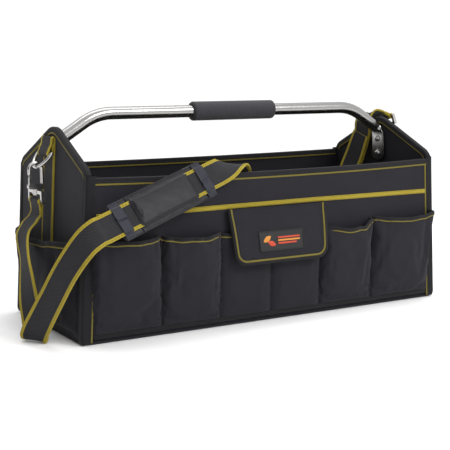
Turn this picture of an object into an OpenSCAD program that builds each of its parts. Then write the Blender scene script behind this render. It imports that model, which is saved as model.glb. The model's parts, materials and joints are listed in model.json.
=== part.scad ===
// Open-top tool tote bag with a bolted tubular steel handle, outer pockets,
// a pocket flap and a shoulder strap that hooks on a D-ring at each end.
// Origin at the centre of the base, X along the bag, -Y at the pocket side, Z up.

/* [Bag body] */
// Length of the bag along its base
base_length = 600; // [596:1:604]
// Depth of the bag from the front face to the back face
depth = 236; // [232:1:238]
// Height of the long panels up to their raw top edge
rim_height = 217; // [210:1:218]
// Height of the end panels up to their raw apex
apex_height = 277; // [276:1:278]
// How far each end panel leans inwards at its apex
lean_in = 15; // [13:1:16]
// Thickness of the long panels
panel_t = 5; // [4:0.5:6]
// Thickness of the end panels
end_t = 6; // [5.5:0.5:6.5]
// Thickness of the base cloth
base_t = 3; // [2:0.5:3]
// Thickness of the loose base board
board_t = 3; // [2:0.5:3]

/* [Trim] */
// Thickness of the binding tape
tape_t = 1.2; // [0.8:0.1:1.3]
// Width of the binding down each side of an edge
binding_w = 6; // [6:1:9]
// Width of the piping beside the binding
piping_w = 2.5; // [2:0.5:3]
// Height of the middle of the bright tape across the front
mid_tape_z = 168; // [167:1:169]
// Width of the bright tape
mid_tape_w = 6.5; // [5:0.5:7]

/* [Pockets] */
// Height of the front pocket rims
pocket_rim_z = 130; // [124:1:132]
// Bulge of the open front pockets at the rim
pocket_bulge = 20; // [14:1:22]
// Bulge of the two front pockets that the flap covers
covered_bulge = 8; // [6:1:9]
// Bulge of the end pockets at the rim
end_bulge = 34; // [28:1:35]
// Thickness of the pocket cloth
pocket_t = 2.5; // [2:0.5:3]

/* [Flap] */
// Width of the flap at its seam
flap_w = 161; // [150:1:162]
// Length of the flap from seam to lower edge
flap_len = 79; // [70:1:82]
// Thickness of the flap
flap_t = 3; // [2.5:0.5:3]

/* [Handle] */
// Outer diameter of the steel tube
tube_d = 18; // [16:1:18]
// Height of the tube's middle line along the top
tube_top_z = 294; // [292:1:296]
// Outer diameter of the foam grip
grip_d = 28; // [26:1:30]
// Length of the foam grip
grip_len = 140; // [120:5:150]

/* [Strap] */
// Width of the strap webbing
strap_w = 38; // [36:1:38]
// Thickness of the strap webbing
strap_t = 2.4; // [2:0.1:2.4]
// Width of the shoulder pad
pad_w = 54; // [48:1:56]

/* [Hidden] */
$fn = 48;
lean = asin(lean_in / apex_height);
half_l = base_length / 2;
half_d = depth / 2;
slit = 0.3;

// End panel outline: round shoulders and a round apex joined by their tangents
apex_r = 40;
shoulder_r = 24;
apex_c = [0, apex_height - apex_r];
shoulder_c = [half_d - shoulder_r, 210];
tangent_d = shoulder_c - apex_c;
tangent_a = atan2(tangent_d.y, tangent_d.x) + acos((apex_r - shoulder_r) / norm(tangent_d));
corner_top = rim_height + 2.5;

// Middle line of the front bindings, and of the pocket seams
corner_band = 12;
seam_x = [-286, -184, -93, -9, 76, 171, 286];
seam_gap = 1;
pocket_z0 = 12;
pocket_foot = 7;

// Flap seam, and the slope at which the flap rests
hinge_y = -half_d - 4.5;
hinge_z = mid_tape_z - 4;
flap_slope = 13;
flap_x = -2.5;
flap_r = 16;
flap_taper = 4;
flap_edge_w = 4;
flap_cord_w = 3;
flap_trim_t = 1;
patch_size = [74, 27];
patch_d = 62;
hook_tape_size = [60, 20, 1.5];
hook_tape_d = 65;
loop_tape_x = [[-42, -11], [-7, 33]];
loop_tape_z = [95, 119];

// Handle tube: virtual corner of its bends, and the height of its flat ends
bend_x = 221;
bend_r = 80;
tube_wall = 1.2;
hairline = 0.003;
plate_t = 4;
plate_w = 28;
plate_z = [209, 260];
bolt_z = [219, 243];
bolt_r = 3;
plate_corner_r = 8;
bolt_head = [5.6, 2]; // radius, height
bolt_dome = [4.2, 1.2];
nut_barrel_r = 4;
nut_flange = [8, 1.2];
nut_sink = 1.6;
tube_end = [272, 262];
slope_a = atan2(tube_top_z - tube_end.y, tube_end.x - bend_x);

// Webbing on the end panels, and the ring that hangs in its tab
tab_y = 8;
tab_bar = [7, 242];
fold_z = 246;
ring_r = 23.5;
ring_wire = 2.3;
ring_tilt = [35, 55];

// Snap hook, in its own frame: the ring's wire at the origin, the strap towards -Z
hook_wire = 2.6;
hook_bend = 9;
hook_c = -(hook_bend - hook_wire - ring_wire - slit);
hook_base = [-30, -23];
gate_pivot = [-8.6, -26.5];
gate_pin_r = 1.2;
post_r = 2.6;
eye_bar_z = -46;
eye_wire = 2.3;
loop_len = 11;
right_hook_turn = [-15, 172];
right_loop_bend = 55;

// Strap route: [point, direction of its width], with the straight run through the pad
pad_head = [-118, -132, 212];
pad_foot = [-268, -160, 164];
pad_side = [0.33, -0.45, -0.83];
function on_pad(f) = pad_head + (pad_foot - pad_head) * f;
ROUTE = [
    [[296.8, 21.2, 278.9], [0, -0.97, 0.25]],
    [[291.2, 21.9, 281.7], [0, -0.97, 0.25]],
    [[284, 24.5, 282.8], [0, -0.97, 0.25]],
    [[277, 28.5, 277.5], [0.05, -0.98, 0.2]],
    [[274.5, 34, 266], [0.05, -1, 0.1]],
    [[274.5, 36, 248], [0.1, -1, 0]],
    [[270, 48, 212], [0.2, -0.95, -0.2]],
    [[262, 60, 170], [0.2, -0.95, -0.2]],
    [[250, 64, 110], [0.2, -0.95, 0]],
    [[228, 60, 50], [0.3, -0.95, 0]],
    [[190, 45, 14], [0.35, -0.93, 0]],
    [[120, 10, 9], [0.45, -0.9, 0]],
    [[50, -25, 9], [0.5, -0.86, 0]],
    [[0, -58, 14], [0.6, -0.8, 0]],
    [[-24, -82, 45], [0.8, -0.6, 0]],
    [[-32, -92, 100], [0.95, -0.3, 0]],
    [[-38, -95, 160], [0.98, -0.2, -0.05]],
    [[-48, -96, 207], [0.93, -0.35, -0.1]],
    [[-60, -103, 222.5], [0.88, -0.48, -0.05]],
    [[-73, -114.5, 225], [0.72, -0.66, -0.2]],
    [[-88, -124.5, 221.5], [0.5, -0.6, -0.62]],
    [on_pad(-0.1), pad_side],
    [on_pad(0), pad_side],
    [on_pad(0.5), pad_side],
    [on_pad(1), pad_side],
    [on_pad(1.12), pad_side],
    [on_pad(1.2), [0.38, -0.45, -0.8]],
    [[-314, -161, 140], [0.4, -0.65, -0.6]],
    [[-329, -140, 106], [0.42, -0.85, -0.3]],
    [[-338, -112, 66], [0.42, -0.88, -0.15]],
    [[-344, -86, 32], [0.48, -0.86, -0.05]],
    [[-346, -70, 13], [0.55, -0.83, 0]],
    [[-346, -65, 6], [0.55, -0.83, 0]],
    [[-343, -62.5, 3], [0.55, -0.83, 0]],
    [[-340, -61, 6], [0.55, -0.83, 0]],
    [[-341, -58, 17], [0.52, -0.85, 0]],
    [[-345, -52, 50], [0.35, -0.93, 0]],
    [[-345, -44, 84], [0.1, -0.99, 0]],
    [[-343, -33, 112], [-0.1, -0.99, 0]],
    [[-336, -14, 135], [-0.05, -1, 0]],
    [[-322, 1, 149], [0, -1, 0]],
    [[-311.5, 7.5, 157.8], [0, -1, 0]],
    [[-308.4, 8, 165.4], [0, -1, 0]]
];
ring_steps = 2;

// Shoulder pad, in its own frame: X along the strap, Y across it, Z away from the bag
pad_len = norm(pad_foot - pad_head);
pad_back_t = 5;
pad_face_t = 4;
pad_play = 0.5;
band_len = 14;
band_t = 2;
sleeve_x = [30, 130];

black_cloth = "#26272b";
black_tape = "#1b1b1d";
yellow = "#a9972b";
bright_yellow = "#c9ae2c";
steel = "#c8c8cc";
grey_vinyl = "#5a5c63";

// ---- helpers ----

// Places children at the right end (side 1) or, mirrored, at the left end (side -1).
// Inside, X is 0 on the end panel's outer face and grows outwards, Z runs up the panel.
module at_end(side)
    translate([side * half_l, 0, 0]) mirror([side < 0 ? 1 : 0, 0, 0])
        rotate([0, -lean, 0]) children();

// Turns a drawing in Y and Z into a solid from x0 to x1
module along_x(x0, x1)
    translate([x0, 0, 0]) rotate([90, 0, 90]) linear_extrude(x1 - x0) children();

// Turns a drawing in X and Z into a solid from y0 to y1
module along_y(y0, y1)
    translate([0, y1, 0]) rotate([90, 0, 0]) linear_extrude(y1 - y0) children();

module box_between(low, high)
    translate(low) cube(high - low);

// Outline of an end panel, grown outwards by g
module end_outline(g) {
    shoulder = shoulder_c + (shoulder_r + g) * [cos(tangent_a), sin(tangent_a)];
    top = apex_c + (apex_r + g) * [cos(tangent_a), sin(tangent_a)];
    half = half_d + g;
    polygon([[-half, 0], [half, 0], [half, shoulder_c.y], shoulder, top,
        [-top.x, top.y], [-shoulder.x, shoulder.y], [-half, shoulder_c.y]]);
    translate(apex_c) circle(apex_r + g, $fn = 96);
    for (s = [-1, 1])
        translate([s * shoulder_c.x, shoulder_c.y]) circle(shoulder_r + g, $fn = 96);
}

// Keeps what lies above height z
module above(z)
    intersection() {
        children();
        box_between([-600, -300, z], [600, 300, 600]);
    }

// Keeps what lies between the two end panels, gap inside their faces
module between_ends(gap)
    difference() {
        children();
        for (s = [-1, 1]) at_end(s) box_between([-gap, -300, -50], [300, 300, 400]);
    }

module rounded_rect(w, h, r) {
    square([w - 2 * r, h], center = true);
    square([w, h - 2 * r], center = true);
    for (x = [-1, 1], y = [-1, 1]) translate([x * (w / 2 - r), y * (h / 2 - r)]) circle(r);
}

// Points along an arc
function arc(centre, r, a0, a1) =
    [for (k = [0:9]) let(a = a0 + (a1 - a0) * k / 9) centre + r * [cos(a), sin(a)]];

// ---- bag body ----

module long_panel(side)
    between_ends(end_t)
        box_between([-half_l, side > 0 ? half_d - panel_t : -half_d, base_t],
            [half_l, side > 0 ? half_d : panel_t - half_d, rim_height]);

module front_panel() color(black_cloth) long_panel(-1);
module back_panel() color(black_cloth) long_panel(1);

module tee_nut_shape()
    rotate([0, 90, 0]) {
        translate([0, 0, -end_t]) cylinder(r = nut_barrel_r, h = end_t - nut_sink);
        translate([0, 0, -nut_sink]) cylinder(r = nut_flange[0], h = nut_flange[1]);
    }

module end_panel(side)
    above(base_t) at_end(side) difference() {
        along_x(-end_t, 0) end_outline(0);
        for (z = bolt_z) translate([0, 0, z]) tee_nut_shape();
    }

module left_end_panel() color(black_cloth) end_panel(-1);
module right_end_panel() color(black_cloth) end_panel(1);
module base_panel() color(black_cloth)
    linear_extrude(base_t) rounded_rect(base_length, depth, 8);
module base_board() color("#3a3630")
    translate([0, 0, base_t]) linear_extrude(board_t)
        rounded_rect(base_length - 2 * end_t - 4, depth - 2 * panel_t - 2, 6);

// ---- bindings and piping ----

// Folded tape over the top edge of a long panel
module rim_binding(side)
    color(black_tape) between_ends(corner_band) difference() {
        translate([0, side * (half_d - panel_t / 2), 0])
            box_between([-half_l, -panel_t / 2 - tape_t, rim_height - binding_w],
                [half_l, panel_t / 2 + tape_t, rim_height + tape_t]);
        translate([0, side * (half_d - panel_t / 2), 0])
            box_between([-half_l, -panel_t / 2, 0], [half_l, panel_t / 2, rim_height]);
    }

// Piping along the lower edge of that tape, on both faces
module rim_piping(side)
    color(yellow) between_ends(corner_band) for (s = [-1, 1])
        translate([0, side * (half_d - panel_t / 2) + s * (panel_t + tape_t) / 2, 0])
            box_between([-half_l, -tape_t / 2, rim_height - binding_w - piping_w],
                [half_l, tape_t / 2, rim_height - binding_w]);

module front_rim_binding() rim_binding(-1);
module back_rim_binding() rim_binding(1);
module front_rim_piping() rim_piping(-1);
module back_rim_piping() rim_piping(1);

// A strip along the end panel's outline between two insets
module outline_strip(outer, inner, x0, x1)
    difference() {
        along_x(x0, x1) end_outline(outer);
        along_x(x0 - 1, x1 + 1) end_outline(inner);
    }

// Folded tape over the apex edge, and the strips that cover the two corners
module end_binding(side)
    color(black_tape) {
        above(corner_top) at_end(side) difference() {
            outline_strip(tape_t, -binding_w, -end_t - tape_t, tape_t);
            along_x(-end_t, 0) end_outline(0);
        }
        intersection() {
            above(base_t) at_end(side) for (s = [-1, 1]) mirror([0, s > 0 ? 1 : 0, 0]) {
                box_between([-corner_band, -half_d - tape_t, -5], [tape_t, -half_d, 300]);
                box_between([0, -half_d, -5], [tape_t, -half_d + binding_w, 300]);
            }
            box_between([-600, -300, 0], [600, 300, corner_top]);
        }
    }

module end_piping(side)
    color(yellow) {
        above(corner_top) at_end(side) for (x = [0, -end_t - tape_t])
            outline_strip(-binding_w, -binding_w - piping_w, x, x + tape_t);
        intersection() {
            above(base_t) at_end(side) for (s = [-1, 1]) mirror([0, s > 0 ? 1 : 0, 0]) {
                box_between([-corner_band - piping_w, -half_d - tape_t, -5], [-corner_band, -half_d, 300]);
                box_between([0, -half_d + binding_w, -5], [tape_t, -half_d + binding_w + piping_w, 300]);
            }
            box_between([-600, -300, 0], [600, 300, rim_height - binding_w - piping_w]);
        }
    }

module left_end_binding() end_binding(-1);
module right_end_binding() end_binding(1);
module left_end_piping() end_piping(-1);
module right_end_piping() end_piping(1);

module mid_tape() color(bright_yellow)
    between_ends(corner_band + piping_w)
        box_between([-half_l, -half_d - tape_t, mid_tape_z - mid_tape_w / 2],
            [half_l, -half_d, mid_tape_z + mid_tape_w / 2]);

// ---- front pockets ----

// Side profile of a pocket front, thinned by t and grown by g
module pocket_profile(bulge, t, g)
    polygon([[-half_d, pocket_z0 + t], [-half_d - pocket_foot + t - g, pocket_z0 + t],
        [-half_d - bulge + t - g, pocket_rim_z + (t > 0 ? 1 : 0)], [-half_d, pocket_rim_z + (t > 0 ? 1 : 0)]]);

function front_bulge(i) = (i == 2 || i == 3) ? covered_bulge : pocket_bulge;

module front_pocket(i)
    color(black_cloth) between_ends(corner_band + piping_w + slit) difference() {
        along_x(seam_x[i] + seam_gap / 2, seam_x[i + 1] - seam_gap / 2)
            pocket_profile(front_bulge(i), 0, 0);
        between_ends(corner_band + piping_w + slit + pocket_t)
            along_x(seam_x[i] + seam_gap / 2 + pocket_t, seam_x[i + 1] - seam_gap / 2 - pocket_t)
                pocket_profile(front_bulge(i), pocket_t, 0);
    }

module front_pocket_1() front_pocket(0);
module front_pocket_2() front_pocket(1);
module front_pocket_3() front_pocket(2);
module front_pocket_4() front_pocket(3);
module front_pocket_5() front_pocket(4);
module front_pocket_6() front_pocket(5);

module front_pocket_bindings() color(yellow)
    for (i = [0:5]) between_ends(corner_band + piping_w + slit)
        along_x(seam_x[i] + seam_gap / 2, seam_x[i + 1] - seam_gap / 2) intersection() {
            difference() {
                pocket_profile(front_bulge(i), 0, 1);
                pocket_profile(front_bulge(i), 0, 0);
            }
            translate([-half_d - 60, pocket_rim_z - 5]) square([60, 5]);
        }

// ---- end pockets ----

end_half = 102;
end_flat = 58;
end_rim_z = 130;
end_foot = 14;

// The pocket's bulge seen from above and from its side, thinned by t and grown by g
module end_pocket_block(t, g)
    intersection() {
        translate([0, 0, -5]) linear_extrude(400)
            polygon([[0, -end_half + t], [end_bulge - t + g, -end_flat], [end_bulge - t + g, end_flat],
                [0, end_half - t]]);
        along_y(-end_half, end_half)
            polygon([[0, pocket_z0 + t], [end_foot - t + g, pocket_z0 + t],
                [end_bulge - t + g, end_rim_z + (t > 0 ? 1 : 0)], [0, end_rim_z + (t > 0 ? 1 : 0)]]);
    }

module end_pocket(side)
    color(black_cloth) at_end(side) difference() {
        end_pocket_block(0, 0);
        end_pocket_block(pocket_t, 0);
    }

module end_pocket_binding(side)
    color(yellow) at_end(side) intersection() {
        difference() {
            end_pocket_block(0, 1);
            end_pocket_block(0, 0);
        }
        box_between([0, -end_flat, end_rim_z - 5], [100, end_flat, end_rim_z]);
    }

module left_pocket() end_pocket(-1);
module right_pocket() end_pocket(1);
module left_pocket_binding() end_pocket_binding(-1);
module right_pocket_binding() end_pocket_binding(1);

// ---- flap ----

// Places children on the flap: X across, Y up to the seam at 0, Z out of its face
module on_flap()
    translate([flap_x, hinge_y, hinge_z]) rotate([90 - flap_slope, 0, 0]) children();

module flap_outline(g) {
    half = flap_w / 2 + g;
    round_r = flap_r + g;
    centre = [half - flap_taper - round_r, round_r - flap_len - g];
    polygon(concat([[-half, -1]], arc([-centre.x, centre.y], round_r, 180, 270),
        arc(centre, round_r, 270, 360), [[half, -1]]));
}

module flap_strip(outer, inner, z0, z1)
    on_flap() difference() {
        translate([0, 0, z0]) linear_extrude(z1 - z0) flap_outline(outer);
        translate([0, 0, z0 - 1]) linear_extrude(z1 - z0 + 2) flap_outline(inner);
    }

module flap() color(black_cloth)
    on_flap() translate([0, 0, -flap_t / 2]) linear_extrude(flap_t) flap_outline(0);
module flap_binding() color(black_tape)
    flap_strip(0, -flap_edge_w, flap_t / 2, flap_t / 2 + flap_trim_t);
module flap_piping() color(yellow)
    flap_strip(-flap_edge_w, -flap_edge_w - flap_cord_w, flap_t / 2, flap_t / 2 + flap_trim_t);
module flap_hook_tape() color("#202022")
    on_flap() translate([-hook_tape_size.x / 2, -hook_tape_d, -flap_t / 2 - hook_tape_size.z])
        cube(hook_tape_size);
module label_patch() color("#101012")
    on_flap() translate([-patch_size.x / 2, -patch_d, flap_t / 2]) cube([patch_size.x, patch_size.y, 1]);
module loop_tape() color("#202022")
    for (x = loop_tape_x) along_x(x[0], x[1]) intersection() {
        difference() {
            pocket_profile(covered_bulge, 0, hook_tape_size.z);
            pocket_profile(covered_bulge, 0, 0);
        }
        translate([-half_d - 60, loop_tape_z[0]]) square([60, loop_tape_z[1] - loop_tape_z[0]]);
    }

// ---- handle ----

tangent_len = bend_r * tan(slope_a / 2);
slope_len = norm([tube_end.x - bend_x, tube_top_z - tube_end.y]) - tangent_len;

module tube_ring()
    difference() {
        circle(tube_d / 2);
        circle(tube_d / 2 - tube_wall);
    }

// The bends stop a few thousandths of a millimetre short of the straight lengths
module handle_tube() color(steel) {
    half = bend_x - tangent_len;
    translate([-half, 0, tube_top_z]) rotate([0, 90, 0]) linear_extrude(2 * half) tube_ring();
    for (s = [-1, 1]) mirror([s < 0 ? 1 : 0, 0, 0]) {
        translate([half, 0, tube_top_z - bend_r]) rotate([90, 0, 0])
            rotate([0, 0, 90 - slope_a + hairline])
                rotate_extrude(angle = slope_a - 2 * hairline, $fn = 128)
                    translate([bend_r, 0]) tube_ring();
        translate([tube_end.x, 0, tube_end.y]) rotate([0, slope_a - 90, 0])
            linear_extrude(slope_len) tube_ring();
    }
}

module handle_ends() color(steel)
    for (s = [-1, 1]) mirror([s < 0 ? 1 : 0, 0, 0]) flat_end();

// Flattened tube end, bolted on the inner face of the end panel
module flat_end() {
    hull() {
        translate([tube_end.x, 0, tube_end.y]) rotate([0, slope_a - 90, 0])
            translate([0, 0, -0.5]) cylinder(d = tube_d, h = 0.5);
        at_end(1) box_between([-end_t - plate_t, -plate_w / 2, plate_z[1] - 2],
            [-end_t, plate_w / 2, plate_z[1]]);
    }
    at_end(1) difference() {
        along_x(-end_t - plate_t, -end_t)
            polygon(concat([[plate_w / 2, plate_z[1] - 2], [-plate_w / 2, plate_z[1] - 2]],
                arc([plate_corner_r - plate_w / 2, plate_z[0] + plate_corner_r], plate_corner_r, 180, 270),
                arc([plate_w / 2 - plate_corner_r, plate_z[0] + plate_corner_r], plate_corner_r, 270, 360)));
        for (z = bolt_z) translate([-end_t - plate_t - 1, 0, z]) rotate([0, 90, 0])
            cylinder(r = bolt_r + 0.2, h = plate_t + 2);
    }
}

module foam_grip() color("#3c3d40")
    rotate([0, 90, 0]) translate([-tube_top_z, 0, -grip_len / 2]) difference() {
        cylinder(d = grip_d, h = grip_len);
        translate([0, 0, -1]) cylinder(r = tube_d / 2 + 0.05, h = grip_len + 2);
    }

module handle_bolts() color(steel)
    for (s = [-1, 1], z = bolt_z) at_end(s)
        translate([-end_t - plate_t, 0, z]) rotate([0, 90, 0]) {
            translate([0, 0, -bolt_head[1]]) cylinder(r = bolt_head[0], h = bolt_head[1]);
            translate([0, 0, -bolt_head[1] - bolt_dome[1]]) cylinder(r = bolt_dome[0], h = bolt_dome[1]);
            cylinder(r = bolt_r - 0.1, h = plate_t + 5);
        }

module tee_nuts() color(steel)
    for (s = [-1, 1], z = bolt_z) at_end(s) translate([0, 0, z]) difference() {
        tee_nut_shape();
        rotate([0, 90, 0]) translate([0, 0, -end_t - 1]) cylinder(r = bolt_r, h = end_t + 2);
    }

// ---- end webbing and D-rings ----

module end_webbing(side)
    color(black_tape) at_end(side) translate([0, tab_y, 0]) {
        along_y(-strap_w / 2, strap_w / 2) square_between([0, 16], [2, fold_z]);
        along_y(-strap_w / 2, strap_w / 2) difference() {
            union() {
                square_between([1.5, fold_z], [6, 262]);
                polygon([[2, 247], [6, 250], [11.2, 244], [7, 239], [2.8, 241]]);
                translate(tab_bar) circle(4.5);
            }
            translate(tab_bar) circle(ring_wire + 0.1);
        }
    }

module square_between(low, high) translate(low) square(high - low);

module left_end_webbing() end_webbing(-1);
module right_end_webbing() end_webbing(1);

function tilt_of(side) = ring_tilt[side < 0 ? 0 : 1];

module d_ring(side)
    color(steel) at_end(side) translate([tab_bar.x, tab_y, tab_bar.y]) rotate([0, -tilt_of(side), 0]) {
        rotate([90, 0, 0]) translate([0, 0, -ring_r]) cylinder(r = ring_wire, h = 2 * ring_r);
        rotate([90, 0, 90]) rotate([0, 0, 180])
            rotate_extrude(angle = 180, $fn = 96) translate([ring_r, 0]) circle(ring_wire, $fn = 32);
        for (s = [-1, 1]) translate([0, s * ring_r, 0]) sphere(ring_wire, $fn = 32);
    }

module left_d_ring() d_ring(-1);
module right_d_ring() d_ring(1);

// ---- snap hooks ----

// Middle of the ring's lowest wire, measured from the end panel's foot
function ring_low(side) = tab_bar + ring_r * [sin(tilt_of(side)), -cos(tilt_of(side))];
function ring_low_x(side) = half_l + ring_low(side).x * cos(lean) - ring_low(side).y * sin(lean);
function ring_low_z(side) = ring_low(side).x * sin(lean) + ring_low(side).y * cos(lean);

module at_hook(side)
    translate([side * ring_low_x(side), tab_y, ring_low_z(side)])
        rotate([side > 0 ? right_hook_turn[0] : 0, 0, 0])
            rotate([0, side > 0 ? right_hook_turn[1] : 0, 0]) children();

module hook(side) color(steel) at_hook(side) {
    translate([0, 0, hook_c]) rotate([90, 0, 0])
        rotate_extrude(angle = 180, $fn = 96) translate([hook_bend, 0]) circle(hook_wire, $fn = 32);
    translate([hook_bend, 0, hook_base[1] - 1]) cylinder(r = hook_wire, h = hook_c - hook_base[1] + 1, $fn = 32);
    translate([-hook_bend, 0, -9]) cylinder(r = hook_wire, h = hook_c + 9, $fn = 32);
    translate([-hook_bend, 0, -9]) sphere(hook_wire, $fn = 32);
    difference() {
        along_y(-4, 4) translate([0, (hook_base[0] + hook_base[1]) / 2])
            rounded_rect(23.2, hook_base[1] - hook_base[0], 3);
        box_between([-12, -2, -31], [-4, 2, -22]);
        translate([gate_pivot.x, 5, gate_pivot.y]) rotate([90, 0, 0]) cylinder(r = gate_pin_r, h = 10);
    }
    translate([0, 0, -38]) cylinder(r = post_r, h = 38 + hook_base[0] + 1);
    translate([0, 0, -38.2]) cylinder(r = 4.2, h = 2.2);
}

module gate(side) color(steel) at_hook(side) difference() {
    union() {
        translate([gate_pivot.x, 1.8, gate_pivot.y]) rotate([90, 0, 0]) cylinder(r = 2.9, h = 3.6);
        intersection() {
            translate([gate_pivot.x, 0, gate_pivot.y]) cylinder(r = 2.2, h = 12.3, $fn = 32);
            box_between([-20, -1.8, -40], [10, 1.8, 10]);
        }
        translate([gate_pivot.x, 0, gate_pivot.y + 12.3]) intersection() {
            sphere(2.2, $fn = 32);
            box_between([-5, -1.8, -1], [5, 1.8, 5]);
        }
    }
    translate([gate_pivot.x, 5, gate_pivot.y]) rotate([90, 0, 0]) cylinder(r = gate_pin_r + 0.05, h = 10);
}

module gate_pin(side) color("#9a9aa0") at_hook(side)
    translate([gate_pivot.x, 4, gate_pivot.y]) rotate([90, 0, 0]) cylinder(r = gate_pin_r, h = 8);

// Wide eye that the post turns in, with its bar for the webbing
module eye(side) color(steel) at_hook(side) difference() {
    union() {
        translate([0, 0, -35.8]) cylinder(r = 5.6, h = 5.5);
        along_x(-eye_wire, eye_wire) {
            translate([0, -33.5]) square([49, 4.6], center = true);
            for (s = [-1, 1]) translate([s * 22.3, -39.9]) square([4.4, 12.4], center = true);
        }
        translate([0, -24.5, eye_bar_z]) rotate([-90, 0, 0]) cylinder(r = eye_wire, h = 49);
    }
    translate([0, 0, -40]) cylinder(r = post_r + 0.05, h = 12);
}

module strap_loop(side) color(black_tape)
    at_hook(side) translate([0, 0, eye_bar_z]) rotate([0, side > 0 ? -right_loop_bend : 0, 0])
        along_y(-strap_w / 2, strap_w / 2) difference() {
            union() {
                circle(4.4);
                translate([-2, -loop_len]) square([4, loop_len]);
            }
            circle(eye_wire + 0.1);
        }

module left_hook() hook(-1);
module right_hook() hook(1);
module left_gate() gate(-1);
module right_gate() gate(1);
module left_gate_pin() gate_pin(-1);
module right_gate_pin() gate_pin(1);
module left_eye() eye(-1);
module right_eye() eye(1);
module left_strap_loop() strap_loop(-1);
module right_strap_loop() strap_loop(1);

// ---- strap ----

function unit(v) = v / norm(v);
function across(v, t) = unit(v - (v * t) * t);

// A Catmull-Rom curve through p1 and p2
function curve(p0, p1, p2, p3, t) =
    0.5 * (2 * p1 + (p2 - p0) * t + (2 * p0 - 5 * p1 + 4 * p2 - p3) * t * t
        + (3 * p1 - p0 - 3 * p2 + p3) * t * t * t);
function before(a, i) = i > 0 ? a[i - 1] : 2 * a[0] - a[1];
function after(a, i) = i + 2 < len(a) ? a[i + 2] : 2 * a[len(a) - 1] - a[len(a) - 2];
function smooth(a, k) = concat(
    [for (i = [0:len(a) - 2], j = [0:k - 1]) curve(before(a, i), a[i], a[i + 1], after(a, i), j / k)],
    [a[len(a) - 1]]);

// A flat band of the given width and thickness that follows a route
module ribbon(route, w, t, k) {
    p = smooth([for (r = route) r[0]], k);
    side = smooth([for (r = route) r[1]], k);
    n = len(p);
    outline = [[-w / 2, -t / 4], [-w / 2 + t / 2, -t / 2], [w / 2 - t / 2, -t / 2], [w / 2, -t / 4],
        [w / 2, t / 4], [w / 2 - t / 2, t / 2], [-w / 2 + t / 2, t / 2], [-w / 2, t / 4]];
    m = len(outline);
    points = [for (i = [0:n - 1])
        let(along = unit(p[min(i + 1, n - 1)] - p[max(i - 1, 0)]), wide = across(side[i], along),
            thick = cross(along, wide))
        for (q = outline) p[i] + q.x * wide + q.y * thick];
    sides = [for (i = [0:n - 2], j = [0:m - 1], upper = [0, 1]) let(a = i * m + j, b = i * m + (j + 1) % m)
        upper == 0 ? [a, b, b + m] : [a, b + m, a + m]];
    polyhedron(points, concat(sides, [[for (j = [m - 1:-1:0]) j]], [[for (j = [0:m - 1]) (n - 1) * m + j]]));
}

module strap() color(black_tape) ribbon(ROUTE, strap_w, strap_t, ring_steps);

// Free end of the webbing below the adjuster
tail_route = [
    [[271.5, 35.7, 248.1], [0.08, -0.96, -0.26]],
    [[266.5, 47.2, 212.3], [0.19, -0.93, -0.32]],
    [[262, 53.4, 192.9], [0.19, -0.92, -0.33]],
    [[258.7, 57.4, 178], [0.2, -0.95, -0.24]],
    [[255.5, 59.9, 162.2], [0.21, -0.97, -0.14]],
    [[253.3, 60.8, 150], [0.21, -0.97, -0.1]]
];
module strap_tail() color(black_tape) ribbon(tail_route, strap_w - 2, strap_t - 0.4, 3);

// Places children in a frame given by its origin and three axes
module in_frame(o, ex, ey, ez)
    multmatrix([[ex.x, ey.x, ez.x, o.x], [ex.y, ey.y, ez.y, o.y], [ex.z, ey.z, ez.z, o.z], [0, 0, 0, 1]])
        children();

// Three-bar slide between the strap and its turned-back end
slide_i = 7;
slide_t = 2;
slide_h = 26;
slide_bar = 6;
module slide_adjuster() color(steel) {
    along = unit(ROUTE[slide_i + 1][0] - ROUTE[slide_i - 1][0]);
    wide = across(ROUTE[slide_i][1], along);
    face = cross(along, wide);
    in_frame(ROUTE[slide_i][0] + face * ((strap_t + slide_t) / 2 + slit), face, wide, along)
        along_x(-slide_t / 2, slide_t / 2) difference() {
            rounded_rect(strap_w + 9, slide_h, 4);
            for (s = [-1, 1]) translate([0, s * slide_bar])
                square([strap_w + 1, slide_bar], center = true);
        }
}

// ---- shoulder pad ----

// Places children in the pad's frame
module on_pad_frame() {
    ex = unit(pad_foot - pad_head);
    ey = across(pad_side, ex);
    ez = cross(ex, ey);
    in_frame(pad_head, ex, ey, ez) children();
}

pad_gap = strap_t / 2 + pad_play;

module pad_back() color(grey_vinyl)
    on_pad_frame() translate([pad_len / 2, 0, -pad_gap - pad_back_t])
        linear_extrude(pad_back_t) rounded_rect(pad_len, pad_w, 6);

// A cover over the strap from x0 to x1, sewn down on the pad back beside the strap
module pad_cover(x0, x1, t)
    on_pad_frame() along_x(x0, x1) difference() {
        square_between([-pad_w / 2 + 1, -pad_gap], [pad_w / 2 - 1, pad_gap + t]);
        square_between([-strap_w / 2 - pad_play, -pad_gap - 1], [strap_w / 2 + pad_play, pad_gap]);
    }

module pad_sleeve() color(grey_vinyl) pad_cover(sleeve_x[0], sleeve_x[1], pad_face_t);
module pad_upper_band() color("#7b7d85") pad_cover(2, 2 + band_len, band_t);
module pad_lower_band() color("#7b7d85") pad_cover(pad_len - 2 - band_len, pad_len - 2, band_t);

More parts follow.
